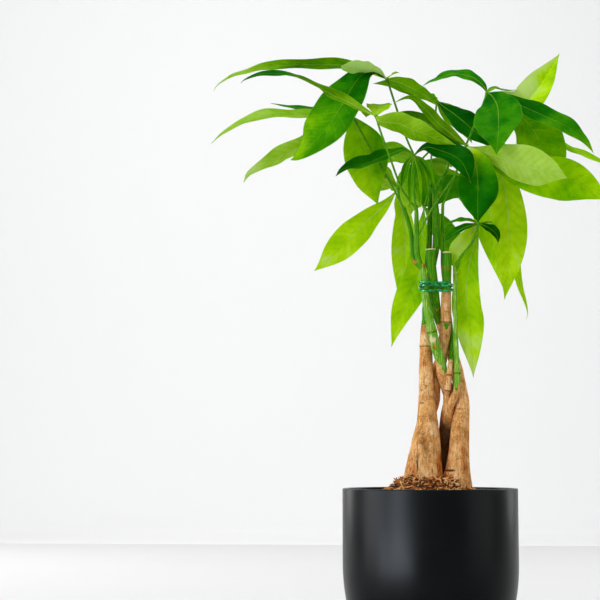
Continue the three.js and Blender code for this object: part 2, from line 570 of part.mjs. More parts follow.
// A quarter of the bowl of the pot, from the foot up, with the wall set in by inset.
function bowlPoints(inset, low, steps) {
  const points = [];
  for (let i = 0; i <= steps; i += 1) {
    const angle = (Math.PI / 2) * (1 - i / steps);
    const radius = POT_FOOT_RADIUS + (POT_RADIUS - POT_FOOT_RADIUS) * Math.cos(angle);
    const height = low + (POT_BOWL_HEIGHT - low) * (1 - Math.sin(angle));
    points.push(new THREE.Vector2(radius - inset, height));
  }
  return points;
}

function pot() {
  const outside = bowlPoints(0, 0, BOWL_STEPS).slice(1);
  const inside = bowlPoints(POT_WALL, POT_FLOOR, BOWL_STEPS).reverse();
  const profile = [
    new THREE.Vector2(0, 0),
    new THREE.Vector2(POT_FOOT_RADIUS - FOOT_BEVEL, 0),
    ...outside,
    new THREE.Vector2(POT_RADIUS, POT_HEIGHT - RIM_ROUND),
    new THREE.Vector2(POT_RADIUS - RIM_ROUND, POT_HEIGHT),
    new THREE.Vector2(POT_RADIUS - POT_WALL + RIM_ROUND, POT_HEIGHT),
    new THREE.Vector2(POT_RADIUS - POT_WALL, POT_HEIGHT - RIM_ROUND),
    ...inside,
    new THREE.Vector2(0, POT_FLOOR),
  ];
  return turned(profile, POT_SIDES);
}

// A solid of revolution about the pot's axis, from a profile that runs from the axis to the axis.
function turned(profile, sides) {
  return solid(new THREE.LatheGeometry(profile, sides).rotateX(Math.PI / 2));
}

function soil(holes) {
  const inset = POT_WALL + GAP;
  const sides = bowlPoints(inset, POT_FLOOR + GAP, BOWL_STEPS);
  const profile = [
    new THREE.Vector2(0, POT_FLOOR + GAP),
    ...sides,
    new THREE.Vector2(POT_RADIUS - inset, SOIL_TOP - SOIL_BEVEL),
    new THREE.Vector2(POT_RADIUS - inset - SOIL_BEVEL, SOIL_TOP),
    new THREE.Vector2(0, SOIL_TOP),
  ];
  return holes.reduce((body, hole) => body.subtract(hole), turned(profile, SOIL_SIDES));
}

// Gives the same row of numbers from 0 to 1 on every run.
function seededRandom(seed) {
  let state = seed;
  return () => {
    state = (Math.imul(state, 1664525) + 1013904223) >>> 0;
    return state / 4294967296;
  };
}

// How high the mulch lies at a distance from the pot's axis.
function mulchHeight(distance) {
  const next = MULCH_RISE.findIndex(([reach], i) => i > 0 && reach >= distance);
  const [near, high] = MULCH_RISE[next - 1];
  const [far, low] = MULCH_RISE[next];
  return high + ((low - high) * (distance - near)) / (far - near);
}

// A low mound of coarse bark chips: a bed with loose chips sunk into it, cut where the trunks stand.
function mulch(holes) {
  const bottom = SOIL_TOP + GAP;
  const bed = [
    new THREE.Vector2(0, bottom),
    new THREE.Vector2(MULCH_RADIUS, bottom),
    ...MULCH_RISE.toReversed().map(([distance, height]) => new THREE.Vector2(distance, height)),
  ];
  const random = seededRandom(CHIP_SEED);
  const chips = [];
  while (chips.length < CHIP_COUNT) {
    const around = 2 * Math.PI * random();
    const distance = (MULCH_RADIUS - CHIP_MARGIN) * Math.sqrt(random());
    const size = CHIP_LEAST.map((least, i) => least + CHIP_MORE[i] * random());
    const chip = new THREE.BoxGeometry(...size);
    chip.rotateX(CHIP_LEAN * (random() - 0.5));
    chip.rotateY(CHIP_LEAN * (random() - 0.5));
    chip.rotateZ(2 * Math.PI * random());
    chip.translate(
      distance * Math.cos(around),
      distance * Math.sin(around),
      mulchHeight(distance) + CHIP_LIFT,
    );
    chips.push(solid(chip));
  }
  return holes.reduce((body, hole) => body.subtract(hole), joined([turned(bed, MULCH_SIDES), ...chips]));
}

// The centre and radius of a stem at a height.
function stemAt(rows, height) {
  const centres = rows.map(seen);
  let i = 1;
  while (centres[i].z < height) i += 1;
  const part = (height - centres[i - 1].z) / (centres[i].z - centres[i - 1].z);
  return {
    centre: centres[i - 1].clone().lerp(centres[i], part),
    radius: rows[i - 1][3] + part * (rows[i][3] - rows[i - 1][3]),
  };
}

// The tie: a thin flat band pulled tight round the stems, with a twisted knot at its left.
function tie(stems) {
  const circles = stems.flatMap((rows) => [TIE_LOW, TIE_HIGH].map((height) => stemAt(rows, height)));
  const rings = [];
  for (let i = 0; i < TIE_STEPS; i += 1) {
    const angle = (2 * Math.PI * i) / TIE_STEPS;
    const out = new THREE.Vector3(Math.cos(angle), Math.sin(angle), 0);
    const reach = ({ centre, radius }) => centre.dot(out) + radius;
    const widest = circles.reduce((best, next) => (reach(next) > reach(best) ? next : best));
    const at = (away, height) => new THREE.Vector3(
      widest.centre.x + out.x * (widest.radius + away),
      widest.centre.y + out.y * (widest.radius + away),
      height,
    );
    const near = TIE_CLEARANCE;
    const far = TIE_CLEARANCE + TIE_THICKNESS;
    rings.push([at(near, TIE_LOW), at(far, TIE_LOW), at(far, TIE_HIGH), at(near, TIE_HIGH)]);
  }
  return joined([solid(skin(rings, true)), stem(TIE_KNOT, KNOT_SIDES)]);
}

// The plant
const trunkRows = [TRUNK_1, TRUNK_2, TRUNK_3, TRUNK_4, TRUNK_5];
const holes = trunkRows.map((rows) => stem(rows.slice(0, HOLE_ROWS), TRUNK_SIDES, GAP));
const one = splitStem(TRUNK_1, TRUNK_SIDES, BARK_TOP_1);
const two = splitStem(TRUNK_2, TRUNK_SIDES, BARK_TOP_2);
const three = splitStem(TRUNK_3, STEM_SIDES, BARK_TOP_3);
const threeArm = splitStem(TRUNK_3_ARM, STEM_SIDES, BARK_TOP_3_ARM);
const four = splitStem(TRUNK_4, STEM_SIDES, BARK_TOP_4);
const five = splitStem(TRUNK_5, TRUNK_SIDES, BARK_TOP_5);

const plant = new THREE.Group();
plant.add(
  meshOf('pot', pot(), POT_FINISH),
  meshOf('soil', soil(holes), SOIL_FINISH),
  meshOf('mulch', mulch(holes), MULCH_FINISH),
  meshOf('trunk_1', one.bark, BARK_FINISH),
  meshOf('trunk_2', two.bark, BARK_FINISH),
  meshOf('trunk_3', three.bark.add(threeArm.bark), BARK_FINISH),
  meshOf('trunk_4', four.bark, BARK_FINISH),
  meshOf('trunk_5', five.bark, BARK_FINISH),
  meshOf('leafy_stem_1', joined([one.green, ...LEAVES_1.map(palmateLeaf)]), GREEN_FINISH),
  meshOf('leafy_stem_2', joined([two.green, stem(SHOOT_2, STEM_SIDES), ...LEAVES_2.map(palmateLeaf)]),
    GREEN_FINISH),
  meshOf('leafy_stem_3', joined([three.green, ...LEAVES_3.map(palmateLeaf)]), GREEN_FINISH),
  meshOf('leafy_stem_3_arm', joined([threeArm.green, ...LEAVES_3_ARM.map(palmateLeaf)]), GREEN_FINISH),
  meshOf('leafy_stem_4', joined([four.green, stem(SHOOT_4_LEFT, STEM_SIDES),
    stem(SHOOT_4_RIGHT, STEM_SIDES), ...LEAVES_4.map(palmateLeaf)]), GREEN_FINISH),
  meshOf('cut_stem_5', five.green, GREEN_FINISH),
  meshOf('tie', tie(trunkRows), TIE_FINISH),
);

export default plant;
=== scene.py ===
# A potted money tree: five braided trunks with palmate leaves, tied once, in a matte black pot with
# soil and bark mulch, on a pale floor in soft light.
# Lengths are in metres. Places on the plant are tables of millimetres, as the eye sees them.

import math
import random

import bpy
from mathutils import Matrix, Vector, noise


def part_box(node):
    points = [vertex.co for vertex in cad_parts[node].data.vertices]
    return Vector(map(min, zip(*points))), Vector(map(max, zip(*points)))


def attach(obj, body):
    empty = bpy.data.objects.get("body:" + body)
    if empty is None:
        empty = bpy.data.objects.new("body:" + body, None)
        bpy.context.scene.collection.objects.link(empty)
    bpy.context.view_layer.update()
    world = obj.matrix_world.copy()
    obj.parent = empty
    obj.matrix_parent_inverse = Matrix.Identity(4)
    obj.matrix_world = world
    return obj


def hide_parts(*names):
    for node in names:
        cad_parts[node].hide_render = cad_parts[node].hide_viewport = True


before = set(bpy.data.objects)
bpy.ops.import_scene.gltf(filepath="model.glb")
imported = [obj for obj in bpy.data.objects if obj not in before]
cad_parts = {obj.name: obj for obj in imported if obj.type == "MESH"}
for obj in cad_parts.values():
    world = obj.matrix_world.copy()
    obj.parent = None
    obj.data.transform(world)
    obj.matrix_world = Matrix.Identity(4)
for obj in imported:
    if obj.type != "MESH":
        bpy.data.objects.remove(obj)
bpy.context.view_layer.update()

MM = 0.001

# The eye and how it looks: a little up and to the left
EYE = Vector((0, -1.6, 0.181))
EYE_TURN = math.radians(4.686)
EYE_TILT = math.radians(5.779)
SIGHT = Matrix.Rotation(EYE_TURN, 3, "Z") @ Matrix.Rotation(EYE_TILT, 3, "X")
SIGHT_LENGTH = 1573.2
PICTURE_WIDTH = 600
MIDDLE_ACROSS = -130
MIDDLE_UP = 341

# The floor, the wall, and the round cove between them
FLOOR_FRONT = -4
FLOOR_BACK = 1.77
WALL_BACK = 3.6
WALL_HEIGHT = 4.5
COVE = 0.8
COVE_STEPS = 16
# How far the cove starts under the floor and ahead of its back edge
COVE_BELOW = 0.012
COVE_AHEAD = 0.01
HALF_WIDTH = 5
ROOM_LIGHT = 0.5

# Pot, soil and mulch
POT_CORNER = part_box("pot")[1]
POT_RADIUS = POT_CORNER.x
POT_HEIGHT = POT_CORNER.z
POT_WALL = 4.5 * MM
POT_FLOOR = 6 * MM
POT_FOOT_RADIUS = 60 * MM
POT_BOWL_HEIGHT = 78 * MM
POT_SIDES = 160
BOWL_STEPS = 24
RIM_ROUND = 1.3 * MM
RIM_STEPS = 4
SOIL_TOP = 140 * MM
MULCH_RADIUS = 76 * MM
CHIP_FIELD_RADIUS = MULCH_RADIUS + 5 * MM
# How high the mulch lies at each distance from the middle, in millimetres
MULCH_RISE = [(0, 164), (20, 163), (30, 160.5), (39, 154), (50, 148.5), (76, 142.4), (90, 140.5)]
BED_STEPS = 26
BED_SIDES = 96
CHIP_COUNT = 2600
CHIP_CORNERS = 8
# The chips, each value as the least and what chance adds: length and thickness in millimetres, width
# as a share of the length, and how far out each corner is
CHIP_LENGTH = (1.6, 2.6)
CHIP_THICKNESS = (0.3, 0.4)
CHIP_WIDTH = (0.16, 0.24)
CHIP_CORNER_REACH = (0.7, 0.5)
# How far chips bend and tilt at most where they lie loose
CHIP_BEND = 220
CHIP_TILT = 0.6
# From PILE_RADIUS on the chips lie flatter, and PILE_EDGE further out flat and half sunk in the bed
PILE_RADIUS = 35 * MM
PILE_EDGE = 7 * MM

# Leaves
BLADE_THICKNESS = 0.55 * MM
BLADE_EDGE_THICKNESS = 0.3 * MM
BLADE_STEPS = 39
HALF_COLUMNS = 6
BLADE_ARCH = 0.12
# The midrib: how deep it lies in the blade's thickness, how much thinner it is at the tip, how much
# paler than the blade, and the distance from it at which the paint of a blade is 1
RIB_RADIUS = 0.8 * MM
RIB_SIDES = 6
RIB_DEPTH = 0.6
RIB_TAPER = 0.8
RIB_PALER = 0.15
RIB_SPAN = 32 * MM
# The waves of a blade's edge: their height, how many there are along it, how far those of its right
# half are out of step, and the half width from which they have their full height
WAVE_HEIGHT = 1.1 * MM
WAVE_COUNT = 3.3
WAVE_SHIFT = 1.9
WAVY_HALF_WIDTH = 12 * MM
STALK_RADIUS = 1.05 * MM
STALK_SIDES = 10
STALK_TONE = 0.55
STALK_STEP = 2.5 * MM
# How much thicker a stalk is at its foot and at its hub, over what length, and how it rounds off there
FOOT_FLARE = 0.5
FOOT_FLARE_LENGTH = 6 * MM
HUB_FLARE = 0.9
HUB_FLARE_LENGTH = 5 * MM
HUB_BEYOND = (0.9 * MM, 1.7 * MM)
HUB_TAPER = (0.8, 0.35)
# How wide the blade is at its hub and its tip, as a share of its full width
BASE_WIDTH = 0.03
TIP_WIDTH = 0.012
# How hollow the taper towards the hub is, for a blade that is widest at EVEN_BELLY and further out,
# and how hollow the taper towards the tip
EVEN_BELLY = 0.4
EVEN_TAPER = 0.7
TAPER_GROWTH = 2.5
TIP_TAPER = 1.15
# The tone of the palest blades. Tone 0 is dark green, and tone 1 a light yellow-green.
PALEST_TONE = 1.25

# Trunks
TRUNK_SIDES = 44
STEM_SIDES = 28
# How close together the rows of a stem lie, in millimetres
STEM_STEP = 1.3
# How far the bark fades into the green, in millimetres up
BORDER_SPREAD = 4
# The gnarled foot of a thick trunk fades out between these heights, in millimetres
FOOT_HEIGHTS = (185, 150)
# How rough bark is, as a share of the radius: broad swellings, fine fibres, and the ridges of a foot
SWELLING = 0.05
FIBRES = 0.012
FOOT_RIDGES = 0.09
# A stub's cut rim: how far it stands out and how far under the cut it begins and is full
CUT_RISE = 0.35 * MM
CUT_SPAN = (2, 1)

# Each trunk is a list of [across, up, depth, radius], from its foot in the soil to its cut or fork.
TRUNK_1 = [
  [-0.5, 96, -12, 12.4], [-0.5, 140, -12, 12.8], [-0.5, 152, -12, 13.2], [-1, 163, -11.5, 13.6],
  [-3, 181, -10.5, 14], [-3, 191, -10, 13.8], [-3, 201, -9, 13], [-3, 211, -8, 12],
  [-2.8, 221, -7, 10.4], [-3, 231, -6, 9.2], [-3.3, 241, -5, 8.3], [-3.7, 251, -3.5, 7.5],
  [-4, 271, 0, 7.1], [-4, 285, 1, 6.8], [-4, 295, 2, 6.5], [-3.5, 311, 5, 5.9],
  [-2.8, 321, 9, 5.3], [-3.2, 331, 11.5, 4.8], [-2.5, 341, 12, 4.4], [-0.5, 358, 12, 4.1],
  [2.5, 376, 12.5, 3.9], [5.5, 391, 10, 3.8], [6.2, 401, 8, 3.7], [6.2, 425, 6, 3.4],
  [5, 447, 6, 3], [10, 458, 5, 2.2], [16.5, 470, 4, 1.5], [20, 482, 4, 1.2],
]
TRUNK_2 = [
  [27.5, 96, -4, 14], [27.5, 140, -4, 14.4], [27.5, 152, -4, 15.2], [27.3, 161, -4.5, 14.6],
  [28, 171, -5, 12.7], [28.6, 181, -5, 11.3], [29.2, 191, -5, 10.3], [29.6, 201, -5, 9.9],
  [30, 211, -5, 9.5], [31, 221, -4, 8.6], [32.5, 231, -1, 7.2], [32.4, 241, 2, 6.9],
  [30.5, 251, 2.5, 6.8], [28.6, 261, 3, 6.5], [26.8, 271, 5, 6.2], [24, 281, 9, 5.9],
  [20.5, 291, 12.5, 5.6], [16.8, 301, 15, 5.4], [13, 311, 15.5, 5.3], [9.5, 321, 13.5, 5.2],
  [6.3, 331, 8.5, 5], [5, 341, 4, 4.9], [3.5, 358, 1, 4.7], [1.5, 376, 0, 4.7], [0.4, 392, 0, 4.9],
]
TRUNK_3 = [
  [11, 96, 18, 7.6], [11, 152, 18, 7.8], [13, 181, 14, 7.7], [14, 191, 12, 7.6], [15, 201, 9.5, 7.4],
  [16, 211, 7, 7.1], [16.6, 221, 4, 6.8], [17.8, 231, -0.5, 6.4], [17.6, 239, -3, 4.6],
  [16.6, 245, -4.5, 3.4], [17.4, 251, -6.5, 3.1], [18.9, 261, -8.6, 2.9], [19.4, 268, -8.6, 2.7],
  [20, 275, -6.5, 2.5], [21, 281, -3, 2.4], [21.4, 291, 3, 2.3], [21.5, 301, 7.5, 2.2],
  [21.2, 311, 9.6, 2.1], [20, 321, 10.6, 2.1], [17, 341, 11.5, 2.1], [14.5, 358, 10.5, 2.1],
  [12.8, 376, 10, 2], [12.6, 391, 10, 1.9], [12.4, 411, 9.5, 1.8], [12.8, 437, 8, 1.5],
]
# The arm that leaves trunk 3 at its fork
TRUNK_3_ARM = [
  [18, 229, -1, 4.4], [20.5, 237, -4, 4.4], [24.8, 245, -6.5, 3.9], [26.9, 253, -7.5, 3.3],
  [27.3, 269, -7, 3.1], [26.7, 281, -5, 2.7], [25.9, 301, -3, 2.4], [25.5, 321, -1, 2.2],
  [25, 341, 1, 2.1], [25, 356, 2.5, 1.9], [24.4, 376, 4.5, 1.7],
]
TRUNK_4 = [
  [28, 96, 27, 8.8], [28, 152, 27, 8.8], [28, 181, 25, 8.6], [28.5, 201, 22, 8.2], [27, 221, 18, 7.6],
  [25, 231, 15, 7.2], [22, 241, 12.2, 6.7], [17.8, 251, 8, 6.4], [14.5, 261, 0.5, 6.1],
  [12.3, 268, -2.8, 5.8], [10.2, 281, -6.8, 5.2], [5.7, 294, -9, 4.8], [4, 301, -9.5, 4.9],
  [1.8, 311, -10, 4.9], [-0.4, 321, -10, 4.4], [-4, 341, -8, 4.1], [-5.5, 358, -5.5, 3.4],
  [-7.2, 371, -4, 3], [-8.3, 377, -4, 2.8],
]
TRUNK_5 = [
  [-18, 96, 6, 9], [-18, 152, 6, 9.3], [-17.4, 163, 7, 9.3], [-13.7, 181, 11.5, 9],
  [-11.5, 191, 12.5, 8.7], [-9.6, 201, 13, 8.4], [-7, 211, 13, 8.2], [-4, 221, 12.5, 8],
  [-0.5, 231, 12, 7.9], [2.5, 241, 11.5, 7.7], [3.3, 251, 11.5, 7.4], [5, 261, 11, 7.2],
  [7.6, 271, 10, 6.9], [11, 281, 6, 6.2], [12, 291, 4.5, 5.7], [13.8, 301, 4, 5.6],
  [15, 311, 4, 5.7], [15.8, 321, 3.5, 5.5], [16.1, 331, 3, 5.4], [16.1, 341, 3, 5.1],
  [16.6, 358, 2.5, 4.6], [17, 372, 2, 4.6], [17.4, 389, 2, 4.3],
]
# Each stem by its number: its rows, how far up the brown bark reaches as seen from the front, its
# sides, and whether its foot is gnarled
STEMS = {
    1: (TRUNK_1, 314, TRUNK_SIDES, True), 2: (TRUNK_2, 318, TRUNK_SIDES, True),
    3: (TRUNK_3, 280, STEM_SIDES, False), 4: (TRUNK_4, 268, STEM_SIDES, False),
    5: (TRUNK_5, 349, TRUNK_SIDES, False), 6: (TRUNK_3_ARM, 252, STEM_SIDES, False),
}

# Side shoots: the two arms of trunk 4, and the shoot behind the cut top of trunk 2
SHOOT_4_LEFT = [
  [-8.3, 373, -4, 2.7], [-13, 377.5, -2.5, 2.6], [-16.3, 382, -1.5, 2.5], [-17.2, 391, -1, 2.4],
  [-19.5, 411, -1, 2.2], [-26, 433, -2, 1.9],
]
SHOOT_4_RIGHT = [
  [-8.3, 373, -4, 2.9], [-11, 380, -4.5, 2.9], [-13.3, 391, -6, 2.9], [-13.5, 411, -8, 2.6],
  [-13.5, 426, -9, 2.2], [-14, 436, -11, 1.6],
]
SHOOT_2 = [
  [0.5, 370, 1, 2.6], [-2.5, 377, 5, 2.6], [-1.8, 386, 8, 2.8], [-0.8, 396, 9.5, 2.9],
  [-0.5, 411, 9.5, 2.8], [0.2, 441, 9, 2.3], [1, 456, 9, 1.8],
]

# A palmate leaf is (stalk, leaflets): the stalk's [across, up, depth] from its stem to its hub, and for
# each leaflet [width, turn, tilt, fold, twist, belly, tones, path from the hub to the tip]. turn and
# tilt say which way the upper face looks at the hub, in degrees: turn 0 is to the front, tilt 90 is
# up. fold is how far each half rises from the midrib, twist how far the blade rolls on the way to its
# tip, and belly the share of the length at which it is widest. tones say how light and yellow the
# blade is at its hub, its middle and its tip, and how much lighter one half is. These are partly the
# leaflet's own colour and partly painted light and shade: painted shadow where leaflets above shade
# it or block the light from behind, and painted light where light shines through it or falls on one
# half. One number stands for the same tone all over.
LEAVES_1 = [
  ([[4, 446, 5], [-6, 466, -5], [-16, 486, -13], [-24, 504, -19], [-33, 531, -25], [-43, 562, -28]], [
    [22, 180, 75, 5, 0, 0.36, [0.75, 0.24, 1.35, 0], [[-60, 570.5, -32], [-85, 576, -38], [-105, 577, -43],
     [-125, 576.8, -47], [-140, 576.2, -50], [-156, 575.4, -52], [-170, 574, -54], [-184, 569.2, -56],
     [-196, 566.2, -57], [-205, 561.4, -58], [-213, 555.8, -59], [-216.5, 550, -60]]],
    [56, -20, 30, 10, 0, 0.58, [0, 0.38, 0.68, 0.08], [[-56, 570, -36], [-69, 565, -44], [-79, 552, -51],
     [-89, 534.5, -56], [-102, 514.5, -60], [-117, 498, -60], [-131, 486, -52], [-139.5, 481, -42]]],
    [26, 180, 70, 8, 0, 0.74, [1.2, 1.2, 1.1, 0], [[-50, 568.5, -38], [-60, 571, -48], [-74, 573, -60],
     [-84, 575, -68], [-89, 575, -73]]],
    [20, 180, 60, 8, 0, 0.45, [0.5, 0.45, 0.4, 0], [[-36, 560, -30], [-30, 558.5, -31], [-20, 554, -32],
     [-10, 548.5, -32], [0, 542, -31], [8, 535, -29]]],
    [9, 180, 60, 8, 0, 0.4, 0.85, [[-40, 565.5, -20], [-36, 567.5, -14], [-31, 568.8, -8]]],
  ]),
  ([[19, 480, 4], [16, 493, 24], [4, 493, 44], [-10, 480, 58]], [
    [36, 200, 50, 12, 0, 0.5, 0.6, [[-30, 486, 68], [-50, 484, 80], [-68, 474, 90]]],
    [34, 180, 40, 12, 0, 0.5, 0.6, [[-16, 466, 78], [-20, 446, 98], [-20, 424, 112]]],
    [32, 160, 50, 12, 0, 0.5, 0.6, [[-4, 466, 86], [2, 450, 112], [2, 426, 130]]],
    [30, 140, 50, 12, 0, 0.5, 0.55, [[6, 472, 76], [24, 456, 98], [38, 432, 112]]],
    [28, 180, 70, 12, 0, 0.5, 0.5, [[0, 478, 66], [12, 478, 86], [22, 474, 108]]],
  ]),
]
LEAVES_2 = [
  ([[-0.5, 425, 9], [-4, 430, 16], [-6, 434, 24]], [
    [31, 0, 10, 10, 0, 0.55, [0.8, 0.82, 0.95, 0], [[-8, 410, 28], [-9.3, 382, 29], [-12.1, 363, 28],
     [-20, 346, 24], [-28, 329, 18], [-34, 311, 13], [-38.6, 294, 10]]],
    [32, 0, 20, 10, 0, 0.5, 0.4, [[6, 444, 32], [16, 452, 40], [30, 452, 46], [44, 440, 50]]],
    [30, 20, 10, 10, 0, 0.5, 0.6, [[4, 422, 29], [14, 408, 32], [24, 388, 33], [30, 364, 33]]],
    [32, 180, 40, 12, 0, 0.5, 0.6, [[-14, 440, 44], [-24, 436, 70], [-34, 420, 92]]],
    [30, 0, 15, 10, 0, 0.5, 0.5, [[-2, 452, 28], [-4, 466, 30], [-2, 482, 30]]],
  ]),
  ([[0.8, 448, 9], [1, 476, 20], [3, 506, 36], [7, 540, 48]], [
    [20, 180, 70, 12, 0, 0.5, 0.4, [[1, 544, 64], [-9, 549, 88], [-20, 552, 112]]],
    [24, 180, 60, 12, 0, 0.5, 0.45, [[22, 528, 72], [33, 515, 102], [42, 498, 128]]],
    [30, 140, 60, 12, 0, 0.5, 0.45, [[30, 524, 62], [56, 509, 84], [80, 488, 104]]],
    [30, 0, 30, 10, 0, 0.58, 0.08, [[14, 534, 46], [24, 527, 42], [34, 519, 38], [44, 510.5, 35],
     [54, 502, 32], [62, 493, 30]]],
    [22, 180, 40, 12, 0, 0.5, 0.5, [[17, 530, 60], [30, 518, 72], [44, 504, 82]]],
    [18, 180, 50, 8, 0, 0.45, 0.35, [[-4, 545, 40], [-17, 551, 32], [-30, 556, 26], [-42, 558, 20],
     [-57, 557.5, 16]]],
  ]),
]
LEAVES_3 = [
  ([[12.8, 436, 8], [24, 463.6, 7], [33, 489, 6], [39.5, 504, 4], [50, 529, -3], [57, 548, -10]], [
    [22, 0, 54, 6, 0, 0.5, [0.2, 0.3, 0.4, 0], [[54, 554.5, -10], [46, 561.5, -8], [38.6, 565, -6],
     [31, 566.7, -3], [22, 567, 0], [14, 565.2, 3], [6, 561.5, 5], [0, 559.5, 7], [-7, 555.5, 8]]],
    [8, 0, 60, 14, 0, 0.4, [0.5, 0.55, 0.6, 0], [[64, 553, -2], [72, 551.5, 4], [79, 550.5, 8],
     [86, 551.5, 12]]],
    [50, -15, 25, 10, 0, 0.56, [0.15, 0.32, 0.4, 0], [[62, 545, -20], [67, 536, -34], [68.5, 526, -46],
     [68.5, 512, -60], [67.5, 500, -72], [66.5, 486.5, -74]]],
    [30, 0, 45, 8, 0, 0.5, [0.05, 0.3, 0.5, 0], [[75, 543, -12], [94, 534, -18], [110, 527, -21],
     [123, 521, -24], [136, 515, -27], [147, 507, -30], [156, 499, -31], [163.6, 488, -32]]],
    [54, 10, 30, 10, 0, 0.55, [0.5, 0.6, 0.7, 0], [[79, 535, 0], [93, 523, 2], [104, 510.3, 2],
     [110, 496, 2], [116, 479, -2], [121, 463, -6], [125.7, 445.5, -8]]],
    # This leaflet's left half is painted lighter: painted light against the shade that its deep fold gives
    # it.
    [36, 0, 15, 24, 0, 0.5, [1, 1.05, 1.1, -0.27], [[70, 541, 6], [84, 536, 14], [95, 538, 20],
     [103, 547, 26], [111, 558, 30], [120, 572, 34], [129.6, 587.4, 38]]],
    [26, 0, 68, 12, 0, 0.5, [0.4, 0.6, 0.8, 0], [[90, 524, 18], [120, 503, 22], [138.6, 490.7, 22],
     [150, 487, 22], [160, 483, 21], [170, 479, 20], [190, 471, 18], [208, 463, 16]]],
  ]),
]
LEAVES_3_ARM = [
  ([[24.4, 374, 4.5], [31, 385, 2], [39, 394.6, 0], [45.7, 405, -4], [48.5, 417.5, -6]], [
    [31, 0, 5, 10, 0, 0.6, [0.75, 0.82, 1.15, 0], [[45, 400, 6], [40, 380, 9], [37, 362, 10], [36, 345, 10],
     [37, 330, 10], [39, 321, 9], [41, 300, 7], [42.5, 283, 4], [43.3, 263.5, 2]]],
    [12, 0, 40, 16, 0, 0.5, 0.12, [[55, 415, -14], [62, 411, -24], [67, 405, -32], [68.3, 397.8, -38]]],
    [5, 0, 85, 10, 0, 0.5, 0.15, [[57, 419, -4], [66, 418.5, -4]]],
    [11, 0, 60, 12, 0, 0.5, 0.35, [[40, 420.5, -6], [29, 420.5, -4], [20, 418, -1], [14, 413.5, 2]]],
    [10, 0, 35, 20, 0, 0.5, 0.2, [[36, 414, -9], [26, 409, -9], [18, 403.5, -8], [13.5, 397, -6]]],
    [18, 0, 10, 10, 0, 0.62, [1.05, 1.1, 1.1, 0], [[41, 409, 6], [33.5, 399, 8], [26, 389, 9],
     [21.7, 375.5, 8]]],
  ]),
]
